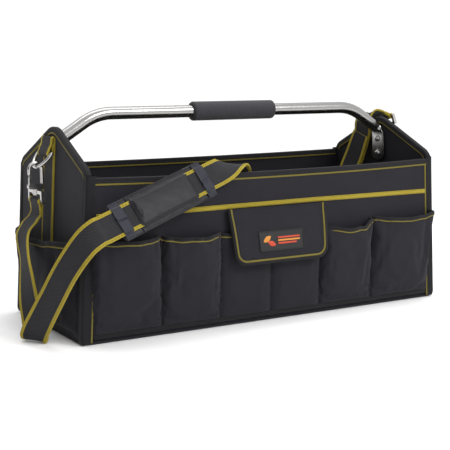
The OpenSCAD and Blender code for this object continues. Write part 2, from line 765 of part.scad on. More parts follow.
front_panel();
back_panel();
left_end_panel();
right_end_panel();
base_panel();
base_board();
front_rim_binding();
back_rim_binding();
front_rim_piping();
back_rim_piping();
left_end_binding();
right_end_binding();
left_end_piping();
right_end_piping();
mid_tape();
front_pocket_1();
front_pocket_2();
front_pocket_3();
front_pocket_4();
front_pocket_5();
front_pocket_6();
front_pocket_bindings();
left_pocket();
right_pocket();
left_pocket_binding();
right_pocket_binding();
flap();
flap_binding();
flap_piping();
flap_hook_tape();
label_patch();
loop_tape();
handle_tube();
handle_ends();
foam_grip();
handle_bolts();
tee_nuts();
left_end_webbing();
right_end_webbing();
left_d_ring();
right_d_ring();
left_hook();
right_hook();
left_gate();
right_gate();
left_gate_pin();
right_gate_pin();
left_eye();
right_eye();
left_strap_loop();
right_strap_loop();
strap();
strap_tail();
slide_adjuster();
pad_back();
pad_sleeve();
pad_upper_band();
pad_lower_band();
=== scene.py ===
"""Garden tool tote: its cloth, trim, strap and materials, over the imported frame.
Lengths are in millimetres."""

import json
import math

import bmesh
import bpy
from mathutils import Matrix, Vector, noise


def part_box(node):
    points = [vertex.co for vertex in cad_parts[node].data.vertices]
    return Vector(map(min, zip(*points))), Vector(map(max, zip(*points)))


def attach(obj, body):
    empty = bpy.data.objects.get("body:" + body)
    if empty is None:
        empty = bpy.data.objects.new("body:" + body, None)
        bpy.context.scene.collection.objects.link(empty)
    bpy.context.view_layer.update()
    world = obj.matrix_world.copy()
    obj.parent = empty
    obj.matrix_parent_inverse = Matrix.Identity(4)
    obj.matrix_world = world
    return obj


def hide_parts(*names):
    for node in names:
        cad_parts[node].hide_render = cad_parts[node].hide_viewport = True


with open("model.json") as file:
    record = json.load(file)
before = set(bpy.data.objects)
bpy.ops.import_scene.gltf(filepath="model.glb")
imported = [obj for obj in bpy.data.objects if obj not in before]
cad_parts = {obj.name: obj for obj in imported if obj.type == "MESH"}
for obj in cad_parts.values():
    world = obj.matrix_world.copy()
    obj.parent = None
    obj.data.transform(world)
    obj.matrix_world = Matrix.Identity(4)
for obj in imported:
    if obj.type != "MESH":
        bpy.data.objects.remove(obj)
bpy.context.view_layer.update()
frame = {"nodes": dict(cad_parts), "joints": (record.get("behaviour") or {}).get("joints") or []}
NODES = frame["nodes"]
MM = 0.001


def span(node):
    """Lowest and highest corner of a CAD node, in millimetres."""
    low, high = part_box(node)
    return low / MM, high / MM


# ---- driving sizes; those read from the frame come first ----

HALF_L = span("base_panel")[1].x
HALF_D = span("base_panel")[1].y
RIM_Z = span("front_panel")[1].z
LEAN_IN, APEX_Z = 15, 277
LEAN = math.asin(LEAN_IN / APEX_Z)
PANEL_T, END_T, TAPE_T = 5, 6, 1.2
BAND_W, CORNER_W, CORD_W = 6, 12, 2.5
STRAP_W, EDGE_W, TAB_Y = 38, 4.5, 8
CLOTH_SKIN = 2.2  # thickness of a pocket's cloth
UP, FRONT = Vector((0, 0, 1)), Vector((0, -1, 0))

# ---- camera ----

CAMERA_AT = Vector((-832.8, -1357.4, 359.7))
CAMERA_LOOKS = Vector((0.5114, 0.8464, -0.1483))
CAMERA_LENS, CAMERA_SENSOR, CAMERA_FAR = 85.1, 36, 100


def make_camera():
    data = bpy.data.cameras.new("camera")
    data.lens, data.sensor_width, data.clip_end = CAMERA_LENS, CAMERA_SENSOR, CAMERA_FAR
    camera = bpy.data.objects.new("camera", data)
    camera.location = CAMERA_AT * MM
    camera.rotation_euler = CAMERA_LOOKS.to_track_quat("-Z", "Y").to_euler()
    bpy.context.scene.collection.objects.link(camera)
    bpy.context.scene.camera = camera


make_camera()

# ---- material helpers ----


class Tree:
    """A material's nodes, with short calls for the ones used here."""

    def __init__(self, name):
        self.material = bpy.data.materials.new(name)
        self.material.use_nodes = True
        self.nodes = self.material.node_tree.nodes
        self.links = self.material.node_tree.links
        self.shader = self.nodes["Principled BSDF"]
        self.place = self.add("ShaderNodeTexCoord").outputs["Object"]

    def add(self, kind, inputs=None, **settings):
        """A new node with its settings, and its inputs by name or number."""
        node = self.nodes.new(kind)
        for key, value in settings.items():
            setattr(node, key, value)
        for key, value in (inputs or {}).items():
            self.put(node.inputs[key], value)
        return node

    def put(self, socket, value):
        if isinstance(value, bpy.types.NodeSocket):
            self.links.new(value, socket)
        else:
            socket.default_value = value

    def math(self, operation, a, b=0.0, c=0.0):
        return self.add("ShaderNodeMath", {0: a, 1: b, 2: c}, operation=operation).outputs[0]

    def noise(self, scale, detail=3.0, roughness=0.55, vector=None):
        inputs = {"Vector": vector or self.place, "Scale": scale, "Detail": detail,
                  "Roughness": roughness}
        return self.add("ShaderNodeTexNoise", inputs).outputs["Fac"]

    def cells(self, scale, **kind):
        inputs = {"Vector": self.place, "Scale": scale}
        return self.add("ShaderNodeTexVoronoi", inputs, **kind).outputs["Distance"]

    def ramp(self, value, low, high):
        inputs = {"Value": value, "To Min": low, "To Max": high}
        return self.add("ShaderNodeMapRange", inputs).outputs["Result"]

    def tone(self, colour, factor):
        """The colour made lighter or darker by a factor near 1."""
        grey = self.add("ShaderNodeCombineColor", dict.fromkeys(range(3), factor)).outputs[0]
        inputs = {"Factor": 1.0, 6: (*colour, 1.0), 7: grey}
        return self.add("ShaderNodeMix", inputs, data_type="RGBA",
                        blend_type="MULTIPLY").outputs[2]

    def bump(self, height, distance, strength, after=None):
        inputs = {"Height": height, "Distance": distance, "Strength": strength}
        if after:
            inputs["Normal"] = after
        return self.add("ShaderNodeBump", inputs).outputs["Normal"]

    def finish(self, colour, roughness, normal=None, **others):
        """Fills the shader in. The others go by name, with _ for a space."""
        values = {"Base Color": colour, "Roughness": roughness}
        if normal:
            values["Normal"] = normal
        values.update((key.replace("_", " "), value) for key, value in others.items())
        for key, value in values.items():
            self.put(self.shader.inputs[key], value)
        return self.material


def linear(*srgb):
    """A colour read as 0 to 255 values, as the shader wants it."""
    return tuple(((v / 255 + 0.055) / 1.055) ** 2.4 if v > 10 else v / 255 / 12.92 for v in srgb)


def cloth_axes(tree, mapped):
    """Two coordinates in millimetres along the threads: from the UV map, or from the place."""
    source = tree.add("ShaderNodeUVMap", uv_map="cloth").outputs[0] if mapped else tree.place
    x, y, z = tree.add("ShaderNodeSeparateXYZ", {0: source}).outputs
    if mapped:
        return x, y
    return tree.math("DIVIDE", tree.math("ADD", x, y), MM), tree.math("DIVIDE", z, MM)


def weave(tree, mapped, pitch):
    """Height of a plain weave: threads pass over and under each other."""
    a, b = (tree.math("SINE", tree.math("MULTIPLY", axis, math.pi / pitch))
            for axis in cloth_axes(tree, mapped))
    return tree.math("MULTIPLY", a, b)


def twill(tree, mapped, pitch, slant):
    """Height of slanting ribs, as on tape and webbing."""
    across, along = cloth_axes(tree, mapped)
    lean = tree.math("MULTIPLY_ADD", tree.math("ABSOLUTE", across), slant, along)
    return tree.math("SINE", tree.math("MULTIPLY", lean, 2 * math.pi / pitch))


def fabric(name, colour, pitch=1.1, depth=0.00012, mapped=True, crease=0.0009):
    """Matt woven polyester: thread bumps, a soft mottle, and fine creases."""
    tree = Tree(name)
    shade = tree.math("ADD", tree.ramp(tree.noise(16, 4, 0.6), 1 - 0.13, 1 + 0.13),
                      tree.ramp(tree.noise(900, 2, 0.6), -0.09, 0.09))
    creases = tree.bump(tree.noise(42, 5, 0.62), crease, 0.55)
    threads = tree.bump(weave(tree, mapped, pitch), depth, 0.8, creases)
    rough = tree.ramp(tree.noise(60), 0.88 - 0.07, 0.88 + 0.07)
    return tree.finish(tree.tone(colour, shade), rough, threads,
                       Sheen_Weight=0.05, Sheen_Roughness=0.5, Specular_IOR_Level=0.12)


def tape(name, colour, pitch=1.7, slant=0.6, depth=0.00022, mapped=True):
    """Narrow woven tape and webbing: ribs across it, with worn lighter threads at random, and
    painted light on the rib crests with painted shade in the grooves.
    """
    tree = Tree(name)
    ribs = twill(tree, mapped, pitch, slant)
    # Random mottle, plus painted light and shade: the rib crests are painted lighter and the
    # grooves darker.
    shade = tree.math("ADD", tree.ramp(tree.noise(34, 4, 0.65), 1 - 0.12, 1 + 0.12),
                      tree.math("MULTIPLY", ribs, 0.09))
    fuzz = tree.bump(tree.noise(700, 3, 0.7), 0.00015, 0.4)
    rough = tree.ramp(tree.noise(90), 0.8 - 0.08, 0.8 + 0.08)
    return tree.finish(tree.tone(colour, shade), rough, tree.bump(ribs, depth, 0.9, fuzz),
                       Sheen_Weight=0.05, Sheen_Roughness=0.5, Specular_IOR_Level=0.16)


def vinyl(name, colour, roughness):
    """Grained vinyl: fine pebbles with a slight gloss between them."""
    tree = Tree(name)
    grain = tree.bump(tree.cells(620, feature="SMOOTH_F1"), 0.0003, 0.45)
    folds = tree.bump(tree.noise(70, 4, 0.6), 0.0006, 0.5, grain)
    rough = tree.ramp(tree.noise(140, 4), roughness - 0.1, roughness + 0.1)
    shade = tree.ramp(tree.noise(26, 4, 0.6), 0.86, 1.14)
    return tree.finish(tree.tone(colour, shade), rough, folds, Specular_IOR_Level=0.2)


def metal(name, colour, roughness, streak_axis=0, wear=0.5):
    """Plated steel: soft reflections, fine draw lines and a few scuffs."""
    tree = Tree(name)
    stretch = [900.0, 900.0, 900.0]
    stretch[streak_axis] = 18.0
    drawn = tree.add("ShaderNodeMapping", {"Vector": tree.place, "Scale": stretch}).outputs[0]
    lines = tree.noise(1, 3, 0.6, drawn)
    scuffs = tree.noise(120, 5, 0.7)
    rough = tree.math("ADD", tree.ramp(lines, roughness * 0.75, roughness * 1.2),
                      tree.math("MULTIPLY", tree.ramp(scuffs, -0.06, 0.12), wear))
    return tree.finish(tree.tone(colour, tree.ramp(scuffs, 0.93, 1.05)), rough,
                       tree.bump(lines, 0.00001, 0.2), Metallic=1.0)


def foam(name, colour):
    """Closed-cell foam: tiny open pores on a matt skin."""
    tree = Tree(name)
    shade = tree.ramp(tree.noise(60, 4, 0.6), 0.85, 1.15)
    return tree.finish(tree.tone(colour, shade), 0.93, tree.bump(tree.cells(1100), 0.0002, 0.5),
                       Sheen_Weight=0.15, Specular_IOR_Level=0.25)


def moulded(name, colour):
    """Moulded plastic or rubber with a fine spark-eroded skin."""
    tree = Tree(name)
    rough = tree.ramp(tree.noise(90, 4), 0.6 - 0.08, 0.6 + 0.1)
    shade = tree.ramp(tree.noise(40, 4), 0.9, 1.1)
    return tree.finish(tree.tone(colour, shade), rough,
                       tree.bump(tree.noise(800, 3, 0.6), 0.0001, 0.4), Specular_IOR_Level=0.45)


cloth = fabric("cloth", linear(34, 33, 38))
binding = tape("binding", linear(26, 25, 28))
webbing = tape("webbing", linear(39, 38, 41), pitch=2.4, slant=0.9, depth=0.0003)
piping = tape("piping", linear(112, 102, 44), pitch=1.3, slant=0.4)
gold_tape = tape("gold_tape", linear(156, 139, 45), pitch=1.5, slant=0.5)
nap = fabric("nap", linear(24, 24, 26), pitch=0.9, depth=0.0005, mapped=False, crease=0.0004)
thread_dark = tape("thread_dark", linear(46, 45, 50), mapped=False, pitch=0.6)
thread_gold = tape("thread_gold", linear(140, 126, 46), mapped=False, pitch=0.6)
pad_vinyl = vinyl("pad_vinyl", linear(26, 25, 29), 0.44)
band_vinyl = vinyl("band_vinyl", linear(36, 37, 46), 0.55)
tube_metal = metal("tube_metal", (0.33, 0.326, 0.322), 0.22)
hardware = metal("hardware", (0.46, 0.45, 0.44), 0.2, streak_axis=2, wear=0.8)
grip_foam = foam("grip_foam", linear(50, 49, 53))
board_skin = moulded("board_skin", linear(38, 38, 42))
# The badge's own black, also used as the painted shade of the bolts' hex sockets.
badge_black = moulded("badge_black", linear(5, 5, 6))
badge_orange = moulded("badge_orange", linear(176, 56, 26))
badge_amber = moulded("badge_amber", linear(190, 122, 38))

# ---- mesh helpers ----


def ride(piece, body, slot, *replaced):
    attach(piece, body)
    if replaced:
        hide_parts(*replaced)


def paint(material, *nodes):
    """Gives CAD nodes that are shown as they are a material."""
    for name in nodes:
        NODES[name].data.materials.clear()
        NODES[name].data.materials.append(material)


def make(name, points, faces, uvs, materials, indices, sharp):
    """A mesh object from points in millimetres, with its cloth coordinates and a material for
    each face. Edges bent more than sharp degrees stay crisp."""
    mesh = bpy.data.meshes.new(name)
    mesh.from_pydata([p * MM for p in points], [], faces)
    layer = mesh.uv_layers.new(name="cloth")
    for polygon in mesh.polygons:
        polygon.material_index = indices[polygon.index]
        polygon.use_smooth = True
        for loop, corner in zip(polygon.loop_indices, uvs[polygon.index]):
            layer.data[loop].uv = corner
    for material in materials:
        mesh.materials.append(material)
    work = bmesh.new()
    work.from_mesh(mesh)
    bmesh.ops.recalc_face_normals(work, faces=work.faces)
    work.to_mesh(mesh)
    work.free()
    mesh.set_sharp_from_angle(angle=math.radians(sharp))
    piece = bpy.data.objects.new(name, mesh)
    bpy.context.scene.collection.objects.link(piece)
    return piece


def joined(name, pieces):
    """Several mesh objects as one."""
    bpy.ops.object.select_all(action="DESELECT")
    for piece in pieces:
        piece.select_set(True)
    bpy.context.view_layer.objects.active = pieces[0]
    bpy.ops.object.join()
    pieces[0].name = name
    return pieces[0]


def steps(n, low=0.0, high=1.0):
    return [low + (high - low) * i / n for i in range(n + 1)]


def eased(n):
    """Steps from 0 to 1 that crowd towards both ends."""
    return [(1 - math.cos(math.pi * i / n)) / 2 for i in range(n + 1)]


def rise(value, low, high):
    """A smooth step from 0 to 1 between two values."""
    t = min(1, max(0, (value - low) / (high - low)))
    return t * t * (3 - 2 * t)


def curve_at(knots, t):
    """A smooth value through (place, value) knots."""
    for (t0, a), (t1, b) in zip(knots, knots[1:]):
        if t <= t1:
            return a + (b - a) * rise(t, t0, t1)
    return knots[-1][1]


def ripple(x, y, size, seed):
    """Smooth noise from -1 to 1 over a surface, with bumps of about the given size."""
    return noise.noise(Vector((x / size, y / size, seed)))


def running(points):
    """How far along a path each of its points lies."""
    where = [0.0]
    for a, b in zip(points, points[1:]):
        where.append(where[-1] + (b - a).length)
    return where


def tangents(points):
    """Which way a path runs at each of its points."""
    last = len(points) - 1
    return [(points[min(i + 1, last)] - points[max(i - 1, 0)]).normalized()
            for i in range(last + 1)]


def squared(way, along):
    """The part of a direction that is square to along."""
    return (way - along * way.dot(along)).normalized()


def each(ways, points):
    """A direction for every point, from a list of them or from a single one."""
    return [ways] * len(points) if isinstance(ways, Vector) else ways


def frames(points, ups):
    """For each point of a path: itself, the side, and the up made square to the path."""
    result = []
    for p, along, up in zip(points, tangents(points), each(ups, points)):
        up = squared(up, along)
        result.append((p, along.cross(up), up))
    return result


def arc(centre, r, start, turn, n):
    """Points of a circle, n steps on from the start through a turn, in degrees."""
    angles = [math.radians(start + turn * k / n) for k in range(n + 1)]
    return [(centre[0] + r * math.cos(a), centre[1] + r * math.sin(a)) for a in angles]


def rounded(half_w, half_h, r, n):
    """A rectangle about the origin with rounded corners of n steps."""
    return [p for sx, sy, start in ((1, 1, 0), (-1, 1, 90), (-1, -1, 180), (1, -1, 270))
            for p in arc((sx * (half_w - r), sy * (half_h - r)), r, start, 90, n)]


def loft(name, rings, materials, pick=None, sharp=38):
    """Joins rings of points, each a closed loop, into one surface with both ends closed.
    pick(j) chooses the material of the faces at place j of a ring."""
    count = len(rings[0])
    middle = rings[len(rings) // 2]
    girth = running(middle + middle[:1])
    along = [0.0]
    for a, b in zip(rings, rings[1:]):
        along.append(along[-1] + sum((q - p).length for p, q in zip(a, b)) / count)
    faces, uvs, indices = [], [], []
    for i in range(len(rings) - 1):
        for j in range(count):
            a, b = i * count + j, i * count + (j + 1) % count
            faces.append((a, b, b + count, a + count))
            uvs.append(((girth[j], along[i]), (girth[j + 1], along[i]),
                        (girth[j + 1], along[i + 1]), (girth[j], along[i + 1])))
            indices.append(pick(j) if pick else 0)
    for start in (0, (len(rings) - 1) * count):
        faces.append(tuple(range(start, start + count)))
        uvs.append(tuple((girth[j], 0.0) for j in range(count)))
        indices.append(pick(0) if pick else 0)
    return make(name, [p for ring in rings for p in ring], faces, uvs, materials, indices, sharp)


def sweep(name, points, ups, profile, material):
    """Sweeps a closed profile of (side, up) points along a path."""
    rings = [[p + side * s + up * u for s, u in profile] for p, side, up in frames(points, ups)]
    return loft(name, rings, [material])


def lathe(name, outline, origin, axis, material, n=40, sharp=38):
    """Turns (distance along, radius) points about an axis."""
    axis = axis.normalized()
    one = axis.orthogonal().normalized()
    two = axis.cross(one)
    turns = [(math.cos(2 * math.pi * k / n), math.sin(2 * math.pi * k / n)) for k in range(n)]
    rings = [[origin + axis * d + one * (r * c) + two * (r * s) for c, s in turns]
             for d, r in outline]
    return loft(name, rings, [material], sharp=sharp)


def face_grid(across, up):
    """Corner numbers of the quads of a grid of points."""
    corners = [j * across + i for j in range(up - 1) for i in range(across - 1)]
    return [(a, a + 1, a + across + 1, a + across) for a in corners]


def grid_normals(points, across, up):
    """Which way each point of a grid faces."""
    normals = []
    for j in range(up):
        for i in range(across):
            du = points[j * across + min(i + 1, across - 1)] - points[j * across + max(i - 1, 0)]
            dv = (points[min(j + 1, up - 1) * across + i]
                  - points[max(j - 1, 0) * across + i])
            normals.append(du.cross(dv).normalized())
    return normals


CLOTH_SETTINGS = {"vertex_group_mass": "held", "quality": 6, "mass": 0.15,
                  "tension_stiffness": 20, "compression_stiffness": 20, "shear_stiffness": 8,
                  "air_damping": 4}
SETTLE_FRAMES = 20


def settle(points, across, up, held, slack, pressure, cap, inward, stiff=0.4):
    """Lets a grid of cloth settle by simulation. held(i, j) says how firmly a point is sewn
    down, slack how much the cloth is cut too large, and cap and inward how far it may move, in
    all and inwards."""
    mesh = bpy.data.meshes.new("settling")
    mesh.from_pydata([p * MM for p in points], [], face_grid(across, up))
    piece = bpy.data.objects.new("settling", mesh)
    scene = bpy.context.scene
    scene.collection.objects.link(piece)
    group = piece.vertex_groups.new(name="held")
    for j in range(up):
        for i in range(across):
            group.add([j * across + i], held(i, j), "REPLACE")
    settings = piece.modifiers.new("cloth", "CLOTH").settings
    for key, value in CLOTH_SETTINGS.items():
        setattr(settings, key, value)
    settings.bending_stiffness = stiff
    settings.shrink_min = -slack
    settings.use_pressure = pressure != 0
    settings.uniform_pressure_force = pressure
    settings.effector_weights.gravity = 0
    for number in range(1, SETTLE_FRAMES + 1):
        scene.frame_set(number)
    shape = piece.evaluated_get(bpy.context.evaluated_depsgraph_get()).data
    result = []
    for p, n, vertex in zip(points, grid_normals(points, across, up), shape.vertices):
        move = vertex.co / MM - p
        if move.length > cap:
            move *= cap / move.length
        if move.dot(n) < -inward:
            move -= n * (move.dot(n) + inward)
        result.append(p + move)
    scene.frame_set(1)
    bpy.data.objects.remove(piece)
    bpy.data.meshes.remove(mesh)
    return result


def sheet(name, place, columns, rows, thickness, material, **settling):
    """A cloth layer of some thickness, and the grid of its outer face. place(u, v) gives that
    face, with u and v from 0 to 1. It is simulated where settle's values are given."""
    across, up = len(columns), len(rows)
    outer = [place(u, v) for v in rows for u in columns]
    if settling:
        outer = settle(outer, across, up, **settling)
    inner = [p - n * thickness for p, n in zip(outer, grid_normals(outer, across, up))]
    half = len(outer)
    u_mm = running(outer[up // 2 * across:][:across])
    v_mm = running(outer[across // 2::across])
    faces, uvs = [], []
    for j in range(up - 1):
        for i in range(across - 1):
            a, b = j * across + i, j * across + i + 1
            c, d = b + across, a + across
            mm = ((u_mm[i], v_mm[j]), (u_mm[i + 1], v_mm[j]),
                  (u_mm[i + 1], v_mm[j + 1]), (u_mm[i], v_mm[j + 1]))
            faces += [(a, b, c, d), (half + d, half + c, half + b, half + a)]
            uvs += [mm, mm[::-1]]
    last_row = (up - 1) * across
    for edge in (range(0, half, across), range(across - 1, half, across),
                 range(across), range(last_row, half)):
        for a, b in zip(edge, edge[1:]):
            faces.append((a, b, half + b, half + a))
            uvs.append(((0, 0), (1, 0), (1, 1), (0, 1)))
    return make(name, outer + inner, faces, uvs, [material], [0] * len(faces), 60), outer


def edged(points, centres, r, n):
    """Adds two rounded upper edges to the lower left end of a profile."""
    for centre, start in zip(centres, (180, 90)):
        points += arc(centre, r, start, -90, n)
    return points


def bar_profile(width, height, r, base):
    """A low strip with two rounded upper edges, lying on the line up = base."""
    half = width / 2
    centres = ((-half + r, height - r), (half - r, height - r))
    return edged([(-half, base)], centres, r, 4) + [(half, base)]


def u_profile(depth, thick, proud=TAPE_T, r=2.2):
    """Folded tape over an edge: up is out of the edge, side across a panel of that thickness."""
    half = thick / 2 + proud
    centres = ((-half + r, proud - r), (half - r, proud - r))
    return (edged([(-half, -depth), (-half - 0.1, -depth * 0.5)], centres, r, 5)
            + [(half + 0.1, -depth * 0.5), (half, -depth)])


def cord_profile(r_side, r_up, n=10):
    return [(r_side * math.cos(2 * math.pi * k / n), r_up * math.sin(2 * math.pi * k / n))
            for k in range(n)]


def smooth(values, per_step):
    """A Catmull-Rom curve through vectors."""
    result = []
    for i in range(len(values) - 1):
        p1, p2 = values[i], values[i + 1]
        p0 = values[i - 1] if i else p1 * 2 - p2
        p3 = values[i + 2] if i + 2 < len(values) else p2 * 2 - p1
        for j in range(per_step):
            t = j / per_step
            result.append(0.5 * (2 * p1 + (p2 - p0) * t + (2 * p0 - 5 * p1 + 4 * p2 - p3) * t * t
                                 + (3 * p1 - p0 - 3 * p2 + p3) * t * t * t))
    result.append(values[-1].copy())
    return result


# Length, pitch and radius of each kind of stitch.
PLAIN_STITCH = (3.2, 4.4, 0.42)
MID_BAND_STITCH = (3.2, 4.4, 0.34)
FINE_STITCH = (2.6, 3.8, 0.38)
BOX_STITCH = (2.6, 3.8, 0.4)
BADGE_STITCH = (2.4, 3.4, 0.35)
STRAP_STITCH = (3.4, 5.0, 0.38)
STITCH_RINGS = ((0, 0.35), (0.2, 1), (0.5, 1.15), (0.8, 1), (1, 0.35))  # place along, girth
STITCH_SECTION = ((-1, 0), (-0.6, 0.8), (0.6, 0.8), (1, 0), (0, -0.9))
stitch_sets = {}


def stitches(body, points, ways, kind=PLAIN_STITCH, thread=thread_dark):
    """A row of sewn stitches on a path, kept to be joined into one piece for each body and
    thread."""
    length, pitch, r = kind
    ways = each(ways, points)
    where = running(points)
    last = len(points) - 1

    def at(d):
        i = next((i for i in range(last) if d <= where[i + 1]), last - 1)
        gap = where[i + 1] - where[i]
        t = (d - where[i]) / gap if gap else 0
        return points[i].lerp(points[i + 1], t), ways[i].lerp(ways[i + 1], t)

    count = max(1, int(where[-1] / pitch))
    step = where[-1] / count
    verts, faces = stitch_sets.setdefault((body, thread.name), ([], []))
    sides = len(STITCH_SECTION)
    for k in range(count):
        middle = (k + 0.5) * step
        a, way = at(middle - length / 2)
        b, _ = at(middle + length / 2)
        along = (b - a).normalized()
        up = squared(way, along)
        side = along.cross(up)
        first = len(verts)
        for t, w in STITCH_RINGS:
            p = a.lerp(b, t) + up * (r * (0.9 * w - 0.35))
            verts += [p + side * (s * r * w) + up * (u * r * w) for s, u in STITCH_SECTION]
        for i in range(first, len(verts) - sides, sides):
            for j in range(sides):
                m = (j + 1) % sides
                faces.append((i + j, i + m, i + sides + m, i + sides + j))
        faces.append(tuple(range(first, first + sides)))
        faces.append(tuple(range(len(verts) - sides, len(verts))))


def sew_all():
    slots = {"thread_dark": "black_tape", "thread_gold": "yellow_piping"}
    for (body, thread), (verts, faces) in stitch_sets.items():
        uvs = [((0, 0),) * len(face) for face in faces]
        piece = make(f"stitches_{body}_{thread}", verts, faces, uvs,
                     [bpy.data.materials[thread]], [0] * len(faces), 70)
        ride(piece, body, slots[thread])


# ---- shape of the bag ----


def end_way(side, x, y, z, base=0.0):
    """A direction in an end panel's own frame: x out of its face, z up the panel."""
    c, s = math.cos(LEAN), math.sin(LEAN)
    return Vector((side * (base + x * c - z * s), y, x * s + z * c))


def on_end(side, x, y, z):
    """A point in that frame."""
    return end_way(side, x, y, z, HALF_L)


APEX_R, SHOULDER_R = 40, 24
APEX_C = Vector((0, APEX_Z - APEX_R))
SHOULDER_C = Vector((HALF_D - SHOULDER_R, 210))
_gap = SHOULDER_C - APEX_C
TANGENT = math.atan2(_gap.y, _gap.x) + math.acos((APEX_R - SHOULDER_R) / _gap.length)


def end_outline(n=14, straight=12):
    """The end panel's edge as (y, z) with its outward direction, from the front shoulder over
    the apex."""
    def curve(centre, r, start, turn, count):
        ways = [Vector((math.cos(start + turn * k / count), math.sin(start + turn * k / count)))
                for k in range(count + 1)]
        return [(centre + way * r, way) for way in ways]

    path = curve(Vector((-SHOULDER_C.x, SHOULDER_C.y)), SHOULDER_R, math.pi, -TANGENT, n)
    apex = curve(APEX_C, APEX_R, math.pi - TANGENT, 2 * TANGENT - math.pi, 2 * n)
    start, way = path[-1]
    path += [(start.lerp(apex[0][0], k / straight), way) for k in range(1, straight)]
    mirrored = [(Vector((-p.x, p.y)), Vector((-way.x, way.y))) for p, way in reversed(path)]
    return path + apex + mirrored


OUTLINE = end_outline()


def end_top(y):
    """Height of the end panel's edge at y."""
    a = abs(y)
    c, s = math.cos(TANGENT), math.sin(TANGENT)
    x0, x1 = APEX_R * c, SHOULDER_C.x + SHOULDER_R * c
    if a >= x1:
        return SHOULDER_C.y + math.sqrt(max(0, SHOULDER_R ** 2 - (a - SHOULDER_C.x) ** 2))
    if a <= x0:
        return APEX_C.y + math.sqrt(APEX_R ** 2 - a * a)
    z0, z1 = APEX_C.y + APEX_R * s, SHOULDER_C.y + SHOULDER_R * s
    return z0 + (z1 - z0) * (a - x0) / (x1 - x0)


RIM_SAG = {-1: 4.5, 1: 2}
SAG_REACH = 288
CORNER_WEAR, CORNER_REACH = 5.0, 45
WALL_BOW, WALL_WAVE = 2.2, 0.9
ROLL, ROLL_TALL = 4.5, 11
POUCH_ROLL_TALL = 9


def rim_top(side, x):
    """Height of a long panel's edge at x: it sags between the ends."""
    return RIM_Z - RIM_SAG[side] * (1 - min(1, abs(x) / SAG_REACH) ** 2.2)


def base_corner(x):
    """How much further the base edge is worn in near a corner."""
    return CORNER_WEAR * max(0, (abs(x) - HALF_L + CORNER_REACH) / CORNER_REACH) ** 2


def wall(side, x, z):
    """Outer face of a long panel. It bows out a little above its seam and rolls under at the
    base."""
    t = z / RIM_Z
    bow = WALL_BOW * math.sin(math.pi * min(1, max(0, t))) * math.cos(math.pi * x / 620)
    bow += WALL_WAVE * ripple(x, z, 70, 3.1 * side) * min(1, (z - 3) / 40)
    if side < 0:  # the flap's seam holds the cloth flat
        bow *= 1 - rise(z, 138, 158) * (1 - rise(z, 178, 198)) * (1 - rise(abs(x + 2.5), 90, 125))
    roll = ROLL * max(0, 1 - z / ROLL_TALL) ** 2 + base_corner(x) * max(0, 1 - z / 20) ** 2
    return Vector((x, side * (HALF_D + bow - roll), z))


def half_length(z):
    """Half the bag's length at height z, at the inner faces of the ends."""
    return HALF_L - z * math.tan(LEAN)


# ---- panels ----


def long_panel(name, side, node):
    def place(u, v):
        z = 1 + v * (rim_top(side, (2 * u - 1) * HALF_L) - 1)
        return wall(side, (2 * u - 1) * side * -1 * (half_length(z) - 2), z)

    piece, _ = sheet(name, place, steps(60), steps(26), PANEL_T - 0.6, cloth)
    ride(piece, "bag", "black_cloth", node)


def end_panel(name, side, node):
    def place(u, v):
        y = (2 * u - 1) * (HALF_D - 0.6) * side
        z = 1 + v * (end_top(y) - 1)
        pad = 0.8 * ripple(y, z, 60, 9 + side) - 3.5 * max(0, 1 - z / POUCH_ROLL_TALL) ** 2
        return on_end(side, pad, y, z)

    piece, _ = sheet(name, place, eased(40), steps(26), END_T - 0.6, cloth)
    ride(piece, "bag", "black_cloth", node)


def base_panel():
    levels = ((0.0, 4.0), (0.4, 1.6), (1.6, 0.4), (3.0, 0.4), (3.0, 6.0))  # height, inset
    rings = [[Vector((x, y, z)) for x, y in rounded(HALF_L - inset, HALF_D - inset, 12.0, 6)]
             for z, inset in levels]
    ride(loft("base", rings, [cloth]), "bag", "black_cloth", "base_panel")


long_panel("front_wall", -1, "front_panel")
long_panel("back_wall", 1, "back_panel")
end_panel("left_wall", -1, "left_end_panel")
end_panel("right_wall", 1, "right_end_panel")
base_panel()

# ---- rim tapes and piping ----

CORD_HALF = CORD_W / 2 + 0.1


def rim_trim(name, side):
    reach = half_length(RIM_Z) - CORNER_W + 1
    middle = [wall(side, x, rim_top(side, x)) + Vector((0, -side * PANEL_T / 2, 0))
              for x in steps(70, -reach, reach)]
    piece = sweep(f"{name}_tape", middle, UP, u_profile(BAND_W, PANEL_T), binding)
    ride(piece, "bag", "black_tape", f"{name}_binding")
    cords = []
    for face in (side, -side):
        path = [p + Vector((0, face * (PANEL_T / 2 + 0.5), -BAND_W - CORD_W / 2)) for p in middle]
        cords.append(sweep(f"{name}_cord", path, UP, cord_profile(0.85, CORD_HALF), piping))
        sewn = [p + Vector((0, face * (PANEL_T / 2 + TAPE_T + 0.1), -BAND_W + 1.8))
                for p in middle]
        stitches("bag", sewn, Vector((0, face, 0)))
    ride(joined(f"{name}_cords", cords), "bag", "yellow_piping", f"{name}_piping")


rim_trim("front_rim", -1)
rim_trim("back_rim", 1)


